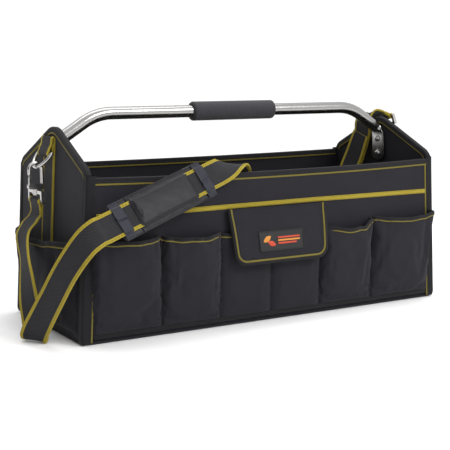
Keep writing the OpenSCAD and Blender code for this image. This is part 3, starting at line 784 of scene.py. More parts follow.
def end_trim(name, side):
    start = next(i for i, (p, _) in enumerate(OUTLINE) if p.y > RIM_Z + 3)
    arch = OUTLINE[start: len(OUTLINE) - start]
    points = [on_end(side, -END_T / 2, p.x, p.y) for p, _ in arch]
    ups = [end_way(side, 0, way.x, way.y) for _, way in arch]
    tapes = [sweep(f"{name}_arch", points, ups, u_profile(BAND_W, END_T), binding)]
    cords = []
    for x, face in ((0.5, 1), (-END_T - 0.5, -1)):
        line = [on_end(side, x, *(p - way * (BAND_W + CORD_W / 2))) for p, way in arch]
        flat = end_way(side, face, 0, 0)
        cords.append(sweep(f"{name}_cord", line, flat, cord_profile(CORD_HALF, 0.85), piping))
        sewn = [on_end(side, x + 0.8 * face, *(p - way * (BAND_W - 1.8))) for p, way in arch]
        stitches("bag", sewn, flat)
    for face in (-1, 1):
        y0 = face * HALF_D
        r = 3.4
        corner = [(-CORNER_W, y0), (-CORNER_W, y0 + face * TAPE_T * 0.7),
                  (-CORNER_W + 1, y0 + face * TAPE_T)]
        corner += arc((TAPE_T - r, y0 + face * (TAPE_T - r)), r, 90 * face, -90 * face, 6)
        corner += [(TAPE_T, y0 - face * (BAND_W + 3)), (TAPE_T * 0.7, y0 - face * (BAND_W + 4)),
                   (-0.5, y0 - face * (BAND_W + 4)), (-0.5, y0)]
        rings = []
        for z in [2.2, 5] + steps(24, POUCH_ROLL_TALL, RIM_Z + 4):
            worn = 2.4 * max(0, 1 - z / POUCH_ROLL_TALL) ** 2
            rings.append([on_end(side, x - worn, y - face * worn, z) for x, y in corner])
        tapes.append(loft(f"{name}_corner", rings, [binding]))
        tucked = 2.4 if side < 0 and face < 0 else 0
        rings = [[on_end(side, -CORNER_W - CORD_W / 2 + s,
                         y0 + face * (0.4 - tucked * rise(z, 150, 172)) + u, z)
                  for s, u in cord_profile(CORD_HALF, 0.9)] for z in steps(48, 4, RIM_Z - BAND_W)]
        cords.append(loft(f"{name}_side_cord", rings, [piping]))
        for x, y, way in ((-CORNER_W + 2, y0 + face * (TAPE_T + 0.1), Vector((0, face, 0))),
                          (TAPE_T + 0.1, y0 - face * (BAND_W + 2), end_way(side, 1, 0, 0))):
            stitches("bag", [on_end(side, x, y, z) for z in steps(40, 6, RIM_Z - 2)], way)
    ride(joined(f"{name}_tapes", tapes), "bag", "black_tape", f"{name}_binding")
    ride(joined(f"{name}_cords", cords), "bag", "yellow_piping", f"{name}_piping")


end_trim("left_end", -1)
end_trim("right_end", 1)

BAND_LOW, BAND_HIGH = span("mid_tape")
BAND_Z = (BAND_LOW.z + BAND_HIGH.z) / 2
BAND_TALL = BAND_HIGH.z - BAND_LOW.z
BAND_T = 1.0


def mid_band():
    points = [wall(-1, x, BAND_Z + 0.5 * math.sin(x / 90))
              for x in steps(80, BAND_LOW.x, BAND_HIGH.x)]
    piece = sweep("mid_band", points, FRONT, bar_profile(BAND_TALL, BAND_T, 0.4, -0.6), gold_tape)
    ride(piece, "bag", "bright_tape", "mid_tape")
    for dz in (-BAND_TALL / 2 + 1.1, BAND_TALL / 2 - 1.1):
        stitches("bag", [p + Vector((0, -BAND_T, dz)) for p in points], FRONT, MID_BAND_STITCH,
                 thread_gold)


mid_band()


def pocket_trim(name, edge, up, depth, sewn):
    """Tape, cord and stitches on a pocket's rim. The edge runs so that along x up faces out."""
    outward = [along.cross(up).normalized() for along in tangents(edge)][1:-1]
    middle = [p - n * (CLOTH_SKIN / 2) for p, n in zip(edge[1:-1], outward)]
    profile = u_profile(depth, CLOTH_SKIN, 0.9, 1.4)
    tape_piece = sweep(f"{name}_tape", middle, up, profile, binding)
    line = [p + n * 1.5 - up * (depth + 0.9) for p, n in zip(middle, outward)]
    cord_piece = sweep(f"{name}_cord", line, outward, cord_profile(1.05, 0.8), piping)
    stitches("bag", [p + n * 2.1 - up * sewn for p, n in zip(middle, outward)], outward)
    return tape_piece, cord_piece


# ---- front pockets ----

POCKET_Z = span("front_pocket_1")[0].z
LOOP_LOW, LOOP_HIGH = span("loop_tape")
LOOP_TAPES = {3: (LOOP_LOW.x, -11), 4: (-7, LOOP_HIGH.x)}
RIM_KNOTS = [
    [(0, 137), (0.3, 133.5), (0.62, 132.5), (0.9, 134.5), (1, 136)],
    [(0, 134.5), (0.25, 131.5), (0.6, 130), (0.9, 132.5), (1, 134)],
    [(0, 131.5), (0.5, 129.5), (1, 131)],
    [(0, 131), (0.5, 129), (1, 131)],
    [(0, 132.5), (0.14, 126.5), (0.45, 122), (0.75, 124), (0.92, 131.5), (1, 134.5)],
    [(0, 135.5), (0.22, 132.5), (0.55, 129), (0.78, 131), (0.93, 135), (1, 137.5)],
]
# How the pockets settle: free ones are cut larger and puffed, those under the flap lie flat.
FREE_POCKET = {"slack": 0.03, "pressure": 0.12, "cap": 3.2, "inward": 2.0}
COVERED_POCKET = {"slack": 0.01, "pressure": 0, "cap": 0.6, "inward": 0.3}


def pocket(number):
    node = f"front_pocket_{number}"
    low, high = span(node)
    knots = RIM_KNOTS[number - 1]
    reach = -HALF_D - low.y - 0.5
    covered = reach < 10
    width = high.x - low.x

    def place(u, v):
        x = low.x + u * width
        z = POCKET_Z + v * (curve_at(knots, u) - POCKET_Z)
        side = abs(2 * u - 1)
        free = 1 - side ** (7 if covered else 17 - 12.6 * v ** 1.3)
        if number in (1, 6) and (u < 0.5) == (number == 1):  # the bag's own corner
            free = 1 - side ** 24
        depth = (5.5 + (reach - 5.5) * v ** 1.15) * free * min(1, v / 0.035)
        fold = sum(-1.5 * math.exp(-((u - s) / 0.045) ** 2) * v ** 1.5 for s in (0.16, 0.84))
        wave = 1.3 * ripple(x, z * 0.45, 34, 1.7 * number) + 0.6 * ripple(x, z, 14, 5 + number)
        sag = 1.2 * math.exp(-((v - 0.09) / 0.05) ** 2)
        moved = (fold + wave * min(1, v * 6) - sag) * free * (0.4 if covered else 1)
        return wall(-1, x, z) + Vector((0, -max(0.0, min(reach + 0.6, depth + moved)), 0))

    columns = eased(44)
    last = len(columns) - 1

    def held(i, j):
        if i in (0, last) or j < 5:
            return 1.0
        return 0.6 if i in (1, last - 1) else 0.0

    rows = steps(4, 0, 0.04) + steps(30, 0.04, 1)[1:]
    piece, grid = sheet(f"pocket_{number}", place, columns, rows, CLOTH_SKIN, cloth, held=held,
                        **(COVERED_POCKET if covered else FREE_POCKET))
    ride(piece, "bag", "black_cloth", node)

    if number in LOOP_TAPES:
        x0, x1 = LOOP_TAPES[number]

        def on_pocket(u, v):
            x, z = x0 + (x1 - x0) * u, LOOP_LOW.z + (LOOP_HIGH.z - LOOP_LOW.z) * v
            across = (x - low.x) / width
            rim = curve_at(knots, across)
            return (place(across, (z - POCKET_Z) / (rim - POCKET_Z))
                    + Vector((0, -2.0 + 0.15 * ripple(x, z, 9, 0.0), 0)))

        patch, _ = sheet(f"loop_patch_{number}", on_pocket, steps(30), steps(20), 1.6, nap)
        ride(patch, "bag", "hook_and_loop", "loop_tape")
        border = [on_pocket(u, v)
                  for u, v in ((0.04, 0.06), (0.96, 0.06), (0.96, 0.94), (0.04, 0.94))]
        for a, b in zip(border, border[1:] + border[:1]):
            stitches("bag", [a, b], FRONT, FINE_STITCH)

    trim = pocket_trim(f"pocket_{number}", grid[-len(columns):], UP, 3.8, 2.6)
    seam = [place(1 - 0.0005, v) + Vector((0, -0.4, 0)) for v in steps(20, 0.05, 0.97)]
    stitches("bag", seam, FRONT)
    return trim


tapes, cords = zip(*[pocket(number) for number in range(1, 7)])
ride(joined("pocket_cords", cords), "bag", "yellow_piping", "front_pocket_bindings")
ride(joined("pocket_tapes", tapes), "bag", "black_tape")


def foot_seam():
    """The tape that holds the pockets' lower edge, and its stitches."""
    reach = span("front_pocket_6")[1].x - 1
    points = [wall(-1, x, POCKET_Z - 1.5) + Vector((0, -0.2, 0)) for x in steps(60, -reach, reach)]
    piece = sweep("foot_tape", points, FRONT, bar_profile(7, 1.3, 0.6, -0.6), binding)
    ride(piece, "bag", "black_tape")
    stitches("bag", [p + Vector((0, -1.4, 1.2)) for p in points], FRONT)


foot_seam()

# ---- end pockets ----

POUCH_DEEP = 33.0
POUCH_RIM = [(0, 131), (0.16, 128), (0.3, 125.5), (0.5, 124.5), (0.7, 125.5), (0.84, 128), (1, 131)]


def end_pouch(name, side):
    half = span(f"{name}_pocket")[1].y

    def place(u, v):
        t = (2 * u - 1) * side
        y = half * t
        free = max(0.0, 1 - abs(t) ** (2.6 + 1.2 * (1 - v)))
        z = POCKET_Z + v * (curve_at(POUCH_RIM, u) - POCKET_Z)
        depth = (10 + (POUCH_DEEP - 11) * v ** 1.1) * free ** 0.8 * min(1, v / 0.05)
        wave = 1.5 * ripple(y, z * 0.5, 40, 20 + side) + 0.5 * ripple(y, z, 15, 30)
        crease = -2.2 * math.exp(-((abs(t) - 0.62) / 0.05) ** 2) * v
        moved = (wave * min(1, 5 * v) + crease) * min(1, 2 * free)
        return on_end(side, max(0.0, min(POUCH_DEEP + 0.5, depth + moved)) + 0.2, y, z)

    columns = eased(52)
    rows = steps(4, 0, 0.06) + steps(28, 0.06, 1)[1:]
    last = len(columns) - 1
    piece, grid = sheet(f"{name}_pouch", place, columns, rows, CLOTH_SKIN, cloth, slack=0.03,
                        held=lambda i, j: float(min(i, last - i) < 2 or j < 5),
                        pressure=0.1, cap=3.0, inward=2.0)
    ride(piece, "bag", "black_cloth", f"{name}_pocket")
    up = end_way(side, 0, 0, 1)
    tape_piece, cord_piece = pocket_trim(f"{name}_pouch", grid[-len(columns):], up, 5.5, 4)
    ride(tape_piece, "bag", "black_tape")
    ride(cord_piece, "bag", "yellow_piping", f"{name}_pocket_binding")


end_pouch("left", -1)
end_pouch("right", 1)

# ---- flap ----


def joint_at(name):
    return Vector(next(j for j in frame["joints"] if j["name"] == name)["pos_m"]) / MM


FLAP_AT = joint_at("flap_hinge")
FLAP_W, FLAP_L, FLAP_R, FLAP_T = 161, 79, 16, 3
FLAP_TAPER = 4
FLAP_SLOPE = math.radians(13)
FLAP_OUT = Vector((0, -math.cos(FLAP_SLOPE), math.sin(FLAP_SLOPE)))


def flap_point(x, d, lift=0.0):
    """A point on the flap: x across, d down from its seam, lift off its outer face."""
    bend = 1.6 * math.sin(math.pi * min(1, d / FLAP_L)) + 0.5 * ripple(x, d, 45, 12.5)
    bend = bend * rise(d, 6, 20) - 0.9 * (x / 80) ** 2 * d / FLAP_L
    up = FLAP_T / 2 + bend + lift
    if x > 0:
        x *= 1 + (4.5 - 3 * d / FLAP_L) / (FLAP_W / 2)
    c, s = math.cos(FLAP_SLOPE), math.sin(FLAP_SLOPE)
    return FLAP_AT + Vector((x, -d * s - up * c, -d * c + up * s))


def flap_half(d, inset=0.0):
    """Half the flap's width at d, pulled in by an inset."""
    half = FLAP_W / 2 - FLAP_TAPER * d / FLAP_L - inset
    r = FLAP_R - inset * 0.6
    low = FLAP_L - inset
    if d > low - r:
        half -= r - math.sqrt(max(0, r * r - (d - (low - r)) ** 2))
    return half


def flap_line(inset, lift):
    """A path along the three free sides, from the left end of the seam to the right end."""
    left = [(-flap_half(d, inset), d) for d in steps(10, 0, FLAP_L - inset - FLAP_R)]
    r = FLAP_R - inset * 0.6
    low = FLAP_L - inset
    for k in range(1, 9):
        d = low - r + r * math.sin(math.radians(90 * k / 8))
        left.append((-flap_half(min(d, low - 1e-6), inset), d))
    corner = left[-1][0]
    bottom = [(x, low) for x in steps(16, corner, -corner)[1:-1]]
    outline = left + bottom + [(-x, d) for x, d in reversed(left)]
    return [flap_point(x, d, lift) for x, d in outline]


def make_flap():
    def place(u, v):
        d = FLAP_L * v
        return flap_point((1 - 2 * u) * flap_half(min(d, FLAP_L - 0.02)), d)

    rows = steps(24, 0, 0.8) + [0.8 + 0.2 * math.sin(math.radians(9 * k)) for k in range(1, 11)]
    piece, _ = sheet("flap_cloth", place, steps(40), rows, FLAP_T - 0.4, cloth)
    ride(piece, "flap", "black_cloth", "flap")
    for name, inset, lift, profile, material, slot, node in (
            ("flap_edge_tape", 1.9, 0.0, bar_profile(4.2, 1.1, 0.8, -FLAP_T + 0.2), binding,
             "black_tape", "flap_binding"),
            ("flap_cord", 5.0, 0.35, cord_profile(1.5, 0.9), piping,
             "yellow_piping", "flap_piping")):
        trim = sweep(name, flap_line(inset, lift), FLAP_OUT, profile, material)
        ride(trim, "flap", slot, node)
    seam = [flap_point(x, 1.5, 0.2) for x in steps(20, -FLAP_W / 2 + 1, FLAP_W / 2 - 1)]
    for path in (flap_line(2.8, 1.15), flap_line(9.5, 0.1), seam):
        stitches("flap", path, FLAP_OUT)
    return piece


flap_cloth = make_flap()

BADGE_D, BADGE_HALF_W, BADGE_HALF_H = 48.5, 37, 14.5
# Inset, corner radius and lift of the badge's rings, from its foot over the raised border.
BADGE_RINGS = ((0, 3, -0.4), (0, 3, 0.9), (0.3, 2.8, 1.25), (1.6, 2, 1.25), (2.0, 1.8, 0.8),
               (6, 1, 0.8))


def badge():
    """A sewn-on badge with a raised border, a plain pair of leaves and three bars."""
    rings = [[flap_point(x, BADGE_D + d, lift)
              for x, d in rounded(BADGE_HALF_W - inset, BADGE_HALF_H - inset, r, 5)]
             for inset, r, lift in BADGE_RINGS]
    parts = [loft("badge_base", rings, [badge_black])]
    for x0, tilt, long, material in ((-30, 0.55, 15, badge_amber), (-23, -0.4, 14, badge_orange)):
        rings = []
        for t in steps(12, 0.001, 0.999):
            wide = 3.6 * math.sin(math.pi * t) ** 0.8
            ring = []
            for k in range(8):
                a = 2 * math.pi * k / 8
                x, d = Vector((t * long, wide * math.cos(a)))
                c, s = math.cos(tilt), math.sin(tilt)
                x, d = Vector((x * c - d * s, x * s + d * c))
                ring.append(flap_point(x0 + x, BADGE_D + 1 - d,
                                       0.9 + 0.5 * math.sin(a) * wide / 3.6))
            rings.append(ring)
        parts.append(loft("badge_leaf", rings, [material]))
    for x1, d, material in ((30, 44.5, badge_orange), (30, 48.5, badge_amber),
                            (24, 52.5, badge_orange)):
        path = [flap_point(x, d, 0.75) for x in steps(10, -6, x1)]
        parts.append(sweep("badge_bar", path, FLAP_OUT, bar_profile(2.4, 0.5, 0.2, -0.2), material))
    ride(joined("badge", parts), "flap", "patch", "label_patch")
    w, h = BADGE_HALF_W - 1, BADGE_HALF_H - 1
    border = [(x, BADGE_D + d) for x, d in ((-w, -h), (w, -h), (w, h), (-w, h), (-w, -h))]
    path = [flap_point(xa + (xb - xa) * t, da + (db - da) * t, 1.3)
            for (xa, da), (xb, db) in zip(border, border[1:]) for t in steps(6)[:-1]]
    stitches("flap", path, FLAP_OUT, BADGE_STITCH)


badge()
paint(nap, "flap_hook_tape")

# ---- handle ----

TUBE_R = span("handle_tube")[1].y
GRIP_LOW, GRIP_HIGH = span("foam_grip")
TUBE_Z = (GRIP_LOW.z + GRIP_HIGH.z) / 2
TUBE_END, TUBE_BEND_X = Vector((272, 0, 262)), 221
SLOPE = math.atan2(TUBE_Z - TUBE_END.z, TUBE_END.x - TUBE_BEND_X)
PLATE_T, PLATE_W, PLATE_R, PLATE_LOW, PLATE_TOP = 4, 28, 8, 209, 260
BOLT_Z = (219, 243)


def handle_end(side):
    """The tube's end pressed flat: round where it meets the tube, then a plate on the panel."""
    out = Vector((math.sin(SLOPE), 0, math.cos(SLOPE)))
    down = Vector((math.cos(SLOPE), 0, -math.sin(SLOPE)))
    plate_mid = -END_T - PLATE_T / 2
    bottom = on_end(1, plate_mid, 0, PLATE_TOP - 6)
    plate_down, plate_out = end_way(1, 0, 0, -1), end_way(1, -1, 0, 0)
    rings = []

    def add_ring(centre, way, half_y, half_n, narrow=1.0, n=32):
        """An oval ring, squarer the wider it is."""
        power = 1
        if half_y > TUBE_R:
            power = 2 / (2 + 5 * (half_y / TUBE_R - 1) / (PLATE_W / 2 / TUBE_R - 1))
        ring = []
        for k in range(n):
            c, s = math.cos(2 * math.pi * k / n), math.sin(2 * math.pi * k / n)
            p = math.copysign(abs(c) ** power, c) * half_y
            q = math.copysign(abs(s) ** power, s) * half_n
            v = centre + Vector((0, 1, 0)) * p + way * q
            ring.append(Vector((v.x if side > 0 else -v.x, v.y * narrow, v.z)))
        rings.append(ring)

    for t in steps(12):
        s = t * t * (3 - 2 * t)
        centre = (TUBE_END + down * (8 * t)).lerp(bottom + plate_down * -2 * (1 - t), s)
        add_ring(centre, out.lerp(plate_out, s).normalized(), TUBE_R + (PLATE_W / 2 - TUBE_R) * s,
                 TUBE_R + (PLATE_T / 2 - TUBE_R) * s ** 0.8)
    for z in steps(14, PLATE_TOP - 12, PLATE_LOW):
        rise_left = max(0, PLATE_LOW + PLATE_R - z)
        shrink = PLATE_R - math.sqrt(max(0, PLATE_R ** 2 - rise_left ** 2))
        add_ring(on_end(1, plate_mid, 0, z), plate_out, PLATE_W / 2, PLATE_T / 2,
                 (PLATE_W / 2 - shrink) / (PLATE_W / 2))
    return loft("handle_end", rings, [tube_metal], sharp=50)


ride(joined("handle_flats", [handle_end(-1), handle_end(1)]), "bag", "tube_steel", "handle_ends")
paint(tube_metal, "handle_tube")


def grip():
    """Foam sleeve with fine rings and rounded ends."""
    r_out, r_in = GRIP_HIGH.y, TUBE_R + 0.1
    low, high = GRIP_LOW.x, GRIP_HIGH.x
    outline = [(0, r_in), (0.0, r_out - 3)]
    for k in range(1, 7):
        a = math.radians(15 * k)
        outline.append((3 - 3 * math.cos(a), r_out - 3 + 3 * math.sin(a)))
    mirrored = [(high - low - d, r) for d, r in reversed(outline)]
    rings = 30
    pitch = (high - low - 8) / rings
    for i in range(rings):
        outline += [(4 + i * pitch + pitch * t, r_out - dip)
                    for t, dip in ((0, 0), (0.35, 0), (0.55, 0.22), (0.75, 0))]
    piece = lathe("grip", outline + mirrored, Vector((low, 0, TUBE_Z)), Vector((1, 0, 0)),
                  grip_foam, 56, 60)
    ride(piece, "bag", "foam", "foam_grip")


grip()

WASHER = [(-0.2, 3), (-0.2, 6.6), (0.5, 6.7), (0.8, 6.4), (0.8, 3)]
BOLT_HEAD = ([(0.4, 2.5), (0.8, 5.2)]
             + [(0.8 + 2.2 * math.sin(math.radians(15 * k)),
                 2.6 + 2.6 * math.cos(math.radians(15 * k))) for k in range(7)] + [(3.0, 2.0)])
# Painted shade: a black hexagon sitting just above the head's top, where a socket's hollow would be
# dark.
SOCKET_SHADE = [(3.02, 2.1), (3.03, 1.9), (1.6, 1.8)]


def bolts():
    """Pan heads on washers. Each hex socket is painted shade: a flat black hexagon just proud of
    the head, standing in for a dark hollow.
    """
    parts = []
    for side in (-1, 1):
        axis = end_way(side, -1, 0, 0)
        for z in BOLT_Z:
            at = on_end(side, -END_T - PLATE_T, 0, z)
            parts.append(lathe("washer", WASHER, at, axis, hardware))
            parts.append(lathe("head", BOLT_HEAD, at, axis, hardware, 36))
            # painted shade of the hex socket, not a real recess
            parts.append(lathe("socket", SOCKET_SHADE, at, axis, badge_black, 6))
    ride(joined("bolts", parts), "bag", "hardware", "handle_bolts")


bolts()
paint(hardware, "tee_nuts")

# ---- webbing ----

EDGE_SHARE = 2 * EDGE_W / STRAP_W
WEB_COLUMNS = [-1, -0.99, -1 + EDGE_SHARE, -0.5, 0, 0.5, 1 - EDGE_SHARE, 0.99, 1]


def band_pick(j):
    """Yellow on the two edges of a band, black between them."""
    n = len(WEB_COLUMNS)
    if j in (n - 1, 2 * n - 1):
        return 1
    first = j if j < n - 1 else 2 * n - 2 - j
    return 1 if first < 2 or first > n - 4 else 0


def band(name, centres, sides, thickness=2.2, width=STRAP_W):
    """A flat band with soft edges: each ring goes out along one face and back along the other."""
    rings = []
    for p, thick, wide in frames(centres, sides):
        ring = []
        for face in (1, -1):
            for q in WEB_COLUMNS[::face]:
                t = thickness / 2 * (0.45 if abs(q) == 1 else 1 if abs(q) > 0.7 else 0.82)
                ring.append(p + wide * (q * width / 2) + thick * (face * t))
        rings.append(ring)
    return loft(name, rings, [webbing, gold_tape], band_pick, 70)


def band_stitches(centres, sides, lift, faces=(1, -1)):
    """Rows of stitches down both yellow edges of a band."""
    axes = frames(centres, sides)
    for edge in (-1, 1):
        for face in faces:
            ways = [thick * face for _, thick, _ in axes]
            path = [p + wide * (edge * (STRAP_W / 2 - EDGE_W / 2)) + way * lift
                    for (p, _, wide), way in zip(axes, ways)]
            stitches("bag", path, ways, STRAP_STITCH, thread_gold)


TAB_FOLD = [(1.1, 261), (1.8, 263.5), (3.2, 264.3), (4.6, 263.4), (5.1, 260.5), (5.3, 256),
            (6.2, 252), (8.2, 249)]
TAB_BAR, TAB_BEND = (7, 242), 3.55
TAB_BACK = [(3.4, 246.5), (3.3, 250), (3.2, 255)]


def end_strip(name, side, node):
    """Webbing up the end panel, folded at the top into a tab round the ring's bar."""
    strip = [(1.1, z) for z in steps(30, 16, 258)]
    route = strip + TAB_FOLD + arc(TAB_BAR, TAB_BEND, 55, -240, 10) + TAB_BACK
    centres = [on_end(side, x, TAB_Y, z) for x, z in route]
    across = Vector((0, 1, 0))
    ride(band(name, centres, across, 1.9), "bag", "webbing", node)
    band_stitches(centres[:len(strip)], across, 1.0, (-1, 1))
    out = end_way(side, 1, 0, 0)
    for z0, z1, lift, crossed in ((251, 262, 6.2, False), (20, 36, 2.2, True)):
        corners = [on_end(side, lift, TAB_Y + y, z)
                   for y, z in ((-13, z0), (13, z0), (13, z1), (-13, z1))]
        lines = list(zip(corners, corners[1:] + corners[:1]))
        if crossed:
            lines += [(corners[0], corners[2]), (corners[1], corners[3])]
        for line in lines:
            stitches("bag", line, out, BOX_STITCH)


end_strip("left_tab", -1, "left_end_webbing")
end_strip("right_tab", 1, "right_end_webbing")

FITTINGS = ["slide_adjuster"] + [f"{side}_{part}" for part in ("eye", "hook", "gate", "gate_pin")
                                 for side in ("left", "right")]
paint(hardware, "left_d_ring", "right_d_ring", *FITTINGS)
paint(board_skin, "base_board")

# ---- strap; each point of a route has the direction of the strap's width ----

PAD_HEAD = Vector((-118, -132, 212))
PAD_FOOT = Vector((-268, -160, 164))
PAD_SIDE = Vector((0.33, -0.45, -0.83))


def on_pad(f):
    return tuple(PAD_HEAD + (PAD_FOOT - PAD_HEAD) * f)


ROUTE = [
    ((296.8, 21.2, 278.9), (0, -0.97, 0.25)),
    ((291.2, 21.9, 281.7), (0, -0.97, 0.25)),
    ((284, 24.5, 282.8), (0, -0.97, 0.25)),
    ((277, 28.5, 277.5), (0.05, -0.98, 0.2)),
    ((274.5, 34, 266), (0.05, -1, 0.1)),
    ((274.5, 36, 248), (0.1, -1, 0)),
    ((270, 48, 212), (0.2, -0.95, -0.2)),
    ((262, 60, 170), (0.2, -0.95, -0.2)),
    ((250, 64, 110), (0.2, -0.95, 0)),
    ((228, 60, 50), (0.3, -0.95, 0)),
    ((190, 45, 14), (0.35, -0.93, 0)),
    ((120, 10, 9), (0.45, -0.9, 0)),
    ((50, -25, 9), (0.5, -0.86, 0)),
    ((0, -58, 14), (0.6, -0.8, 0)),
    ((-24, -82, 45), (0.8, -0.6, 0)),
    ((-32, -92, 100), (0.95, -0.3, 0)),
    ((-38, -95, 160), (0.98, -0.2, -0.05)),
    ((-48, -96, 207), (0.93, -0.35, -0.1)),
    ((-60, -103, 222.5), (0.88, -0.48, -0.05)),
    ((-73, -114.5, 225), (0.72, -0.66, -0.2)),
    ((-88, -124.5, 221.5), (0.5, -0.6, -0.62)),
    (on_pad(-0.1), PAD_SIDE),
    (on_pad(0), PAD_SIDE),
    (on_pad(0.5), PAD_SIDE),
    (on_pad(1), PAD_SIDE),
    (on_pad(1.12), PAD_SIDE),
    (on_pad(1.2), (0.38, -0.45, -0.8)),
    ((-314, -161, 140), (0.4, -0.65, -0.6)),
    ((-329, -140, 106), (0.42, -0.85, -0.3)),
    ((-338, -112, 66), (0.42, -0.88, -0.15)),
    ((-344, -86, 32), (0.48, -0.86, -0.05)),
    ((-346, -70, 13), (0.55, -0.83, 0)),
    ((-346, -65, 6), (0.55, -0.83, 0)),
    ((-343, -62.5, 3), (0.55, -0.83, 0)),
    ((-340, -61, 6), (0.55, -0.83, 0)),
    ((-341, -58, 17), (0.52, -0.85, 0)),
    ((-345, -52, 50), (0.35, -0.93, 0)),
    ((-345, -44, 84), (0.1, -0.99, 0)),
    ((-343, -33, 112), (-0.1, -0.99, 0)),
    ((-336, -14, 135), (-0.05, -1, 0)),
    ((-322, 1, 149), (0, -1, 0)),
    ((-311.5, 7.5, 157.8), (0, -1, 0)),
    ((-308.4, 8, 165.4), (0, -1, 0)),
]


def strap_path(route, per_step):
    return [smooth([Vector(point[k]) for point in route], per_step) for k in (0, 1)]


strap_centres, strap_sides = strap_path(ROUTE, 6)
strap = band("strap_webbing", strap_centres, strap_sides)
ride(strap, "bag", "webbing", "strap")
band_stitches(strap_centres, strap_sides, 1.2)

TAIL = [
    ((271.5, 35.7, 248.1), (0.08, -0.96, -0.26)),
    ((266.5, 47.2, 212.3), (0.19, -0.93, -0.32)),
    ((262, 53.4, 192.9), (0.19, -0.92, -0.33)),
    ((258.7, 57.4, 178), (0.2, -0.95, -0.24)),
    ((255.5, 59.9, 162.2), (0.21, -0.97, -0.14)),
    ((253.3, 60.8, 150), (0.21, -0.97, -0.1)),
]
tail = band("tail", *strap_path(TAIL, 10), 2.0, STRAP_W - 2)
ride(tail, "bag", "webbing", "strap_tail")


def turned(degrees, axis):
    return Matrix.Rotation(math.radians(degrees), 4, axis)


HOOK_FRAMES = {
    "left": Matrix.Translation(joint_at("left_swivel")),
    "right": Matrix.Translation(joint_at("right_swivel")) @ turned(-15, "X") @ turned(172, "Y"),
}
EYE_BAR_Z, EYE_BEND = -46, 3.4
LOOP_BEND = {"left": 0, "right": 55}


def strap_loop(name):
    """The strap's end folded round the eye's bar and back along itself; its stitching is not drawn.
    """
    place = (HOOK_FRAMES[name]
             @ (Matrix.Translation((0, 0, EYE_BAR_Z)) @ turned(-LOOP_BEND[name], "Y")))
    route = ([(1.05, -12), (1.1, -8.5)] + arc((0, 0), EYE_BEND, -62, 304, 16)
             + [(-1.1, -8.5), (-1.05, -12)])
    centres = [place @ Vector((x, 0, z)) for x, z in route]
    wide = (place.to_3x3() @ FRONT).normalized()
    piece = band(f"{name}_loop", centres, wide, 1.8)
    ride(piece, "bag", "webbing", f"{name}_strap_loop")
    return piece


loops = [strap_loop("left"), strap_loop("right")]

# ---- shoulder pad ----

PAD_LEN = (PAD_FOOT - PAD_HEAD).length
PAD_X = (PAD_FOOT - PAD_HEAD).normalized()
PAD_Y = squared(PAD_SIDE, PAD_X)
PAD_Z = PAD_X.cross(PAD_Y)
PAD_W = 54
PAD_GAP = 1.7


def pad_point(x, y, z):
    return PAD_HEAD + PAD_X * x + PAD_Y * y + PAD_Z * z


def pad_back():
    """The pad's thin cushion, shaped by its outline and thickness alone, with no simulation."""
    low, high, r = -PAD_GAP - 4.6, -PAD_GAP - 0.3, 6
    middle, tall = (low + high) / 2, (high - low) / 2
    rings = []
    for k in range(9):
        a = math.radians(-90 + 22.5 * k)
        inset = min(r * 0.9, tall * (1 - math.cos(a)) * 1.2)
        outline = rounded(PAD_LEN / 2 - 0.5 - inset, PAD_W / 2 - 0.5 - inset, r - inset, 6)
        rings.append([pad_point(PAD_LEN / 2 + x, y, middle + tall * math.sin(a))
                      for x, y in outline])
    piece = loft("pad_cushion", rings, [pad_vinyl], sharp=70)
    ride(piece, "pad", "pad_vinyl", "pad_back")
    for y in (-PAD_W / 2 + 3, PAD_W / 2 - 3):
        path = [pad_point(x, y, -PAD_GAP - 0.2) for x in steps(30, 4, PAD_LEN - 4)]
        stitches("pad", path, PAD_Z)
    return piece


SLEEVE = {"slack": 0.06, "pressure": 0.1, "cap": 1.8, "inward": 0.15, "stiff": 0.1}
PAD_BAND = {"slack": 0.09, "pressure": 0.1, "cap": 1.3, "inward": 0.15, "stiff": 0.1}


def pad_cover(name, x0, x1, lift, material, node, puff=0.0):
    """A cover that bridges the strap and is sewn down on the pad back at both sides."""
    half, strap_half = PAD_W / 2 - 1, STRAP_W / 2 + 0.4
    foot = strap_half + 1.5

    def height(y, t):
        a = abs(y)
        if a > foot:
            return -PAD_GAP + 1.0 + 0.9 * max(0, (half - a) / (half - foot))
        s = min(1, (foot - a) / 5)
        swell = 0
        if a < strap_half:
            swell = puff * (1 - (a / strap_half) ** 2) * math.sin(math.pi * t) ** 0.35
        return -PAD_GAP + 1.9 + (2 * PAD_GAP + lift - 1.9) * s * s * (3 - 2 * s) + swell

    def place(u, v):
        y = (2 * u - 1) * half
        x = x0 + (x1 - x0) * v
        end = 1 - 0.35 * (1 - min(1, min(v, 1 - v) / 0.04)) if puff else 1
        z = -PAD_GAP + (height(y, v) + PAD_GAP) * end + 0.25 * ripple(x, y, 11, 7)
        return pad_point(x, y, z)

    columns, rows = steps(60), steps(60 if puff else 14)
    last = len(columns) - 1
    sewn = int(len(columns) * (half - foot) / (2 * half))
    piece, _ = sheet(name, lambda u, v: place(1 - u, v), columns, rows, 1.4 if puff else 1.0,
                     material, held=lambda i, j: float(min(i, last - i) <= sewn),
                     **(SLEEVE if puff else PAD_BAND))
    ride(piece, "pad", "pad_vinyl" if puff else "band_vinyl", node)
    for y in (-half + 2, half - 2):
        path = [place((y / half + 1) / 2, v) + PAD_Z * 0.3 for v in steps(12, 0.04, 0.96)]
        stitches("pad", path, PAD_Z, FINE_STITCH)
    return piece


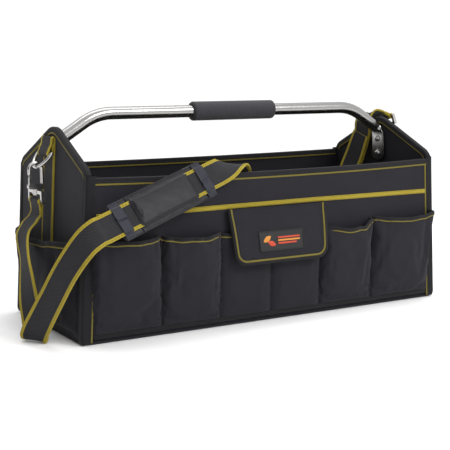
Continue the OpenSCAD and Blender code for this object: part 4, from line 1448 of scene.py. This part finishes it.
cushion = pad_back()
sleeve = pad_cover("pad_sleeve_cover", 30, 130, 1.6, pad_vinyl, "pad_sleeve", 1.8)
upper = pad_cover("pad_top_band", 2, 16, 1.4, band_vinyl, "pad_upper_band")
lower = pad_cover("pad_foot_band", PAD_LEN - 16, PAD_LEN - 2, 1.4, band_vinyl, "pad_lower_band")

running(strap_centres)[-1] * MM
[tuple(p * MM) for p in strap_centres]

sew_all()

# ---- floor, light and world ----

FLOOR_HALF, FLOOR_DROP = 6, 0.0004  # metres


def make_stage():
    mesh = bpy.data.meshes.new("floor")
    corners = [(x * FLOOR_HALF, y * FLOOR_HALF, 0) for x, y in ((-1, -1), (1, -1), (1, 1), (-1, 1))]
    mesh.from_pydata(corners, [], [(0, 1, 2, 3)])
    floor = bpy.data.objects.new("floor", mesh)
    floor.location.z = -FLOOR_DROP
    bpy.context.scene.collection.objects.link(floor)
    white = Tree("floor_white")
    mesh.materials.append(white.finish((0.96, 0.96, 0.96, 1), 0.9, Specular_IOR_Level=0.1))


def lamp(name, at, aim, size, power):
    data = bpy.data.lights.new(name, "AREA")
    data.shape = "RECTANGLE"
    data.size, data.size_y = size
    data.energy = power
    light = bpy.data.objects.new(name, data)
    light.location = at
    light.rotation_euler = (Vector(aim) - Vector(at)).to_track_quat("-Z", "Y").to_euler()
    bpy.context.scene.collection.objects.link(light)


def make_light():
    world = bpy.data.worlds.new("world")
    bpy.context.scene.world = world
    world.use_nodes = True
    nodes, links = world.node_tree.nodes, world.node_tree.links
    split = nodes.new("ShaderNodeSeparateXYZ")
    shade = nodes.new("ShaderNodeMapRange")
    shade.interpolation_type = "SMOOTHSTEP"
    for name, value in (("From Min", -0.9), ("From Max", -0.55), ("To Min", 0.1), ("To Max", 1.12)):
        shade.inputs[name].default_value = value
    links.new(nodes.new("ShaderNodeTexCoord").outputs["Generated"], split.inputs[0])
    links.new(split.outputs[0], shade.inputs["Value"])
    links.new(shade.outputs["Result"], nodes["Background"].inputs[1])
    nodes["Background"].inputs[0].default_value = (1, 1, 1, 1)
    lamp("key", (0.9, -2.3, 1.9), (0, 0, 0.12), (1.5, 0.9), 46)
    lamp("top", (0.2, 0.4, 2.6), (0, 0, 0.1), (2.4, 1.2), 26)


make_stage()
make_light()
bpy.context.scene.view_settings.view_transform = "Standard"
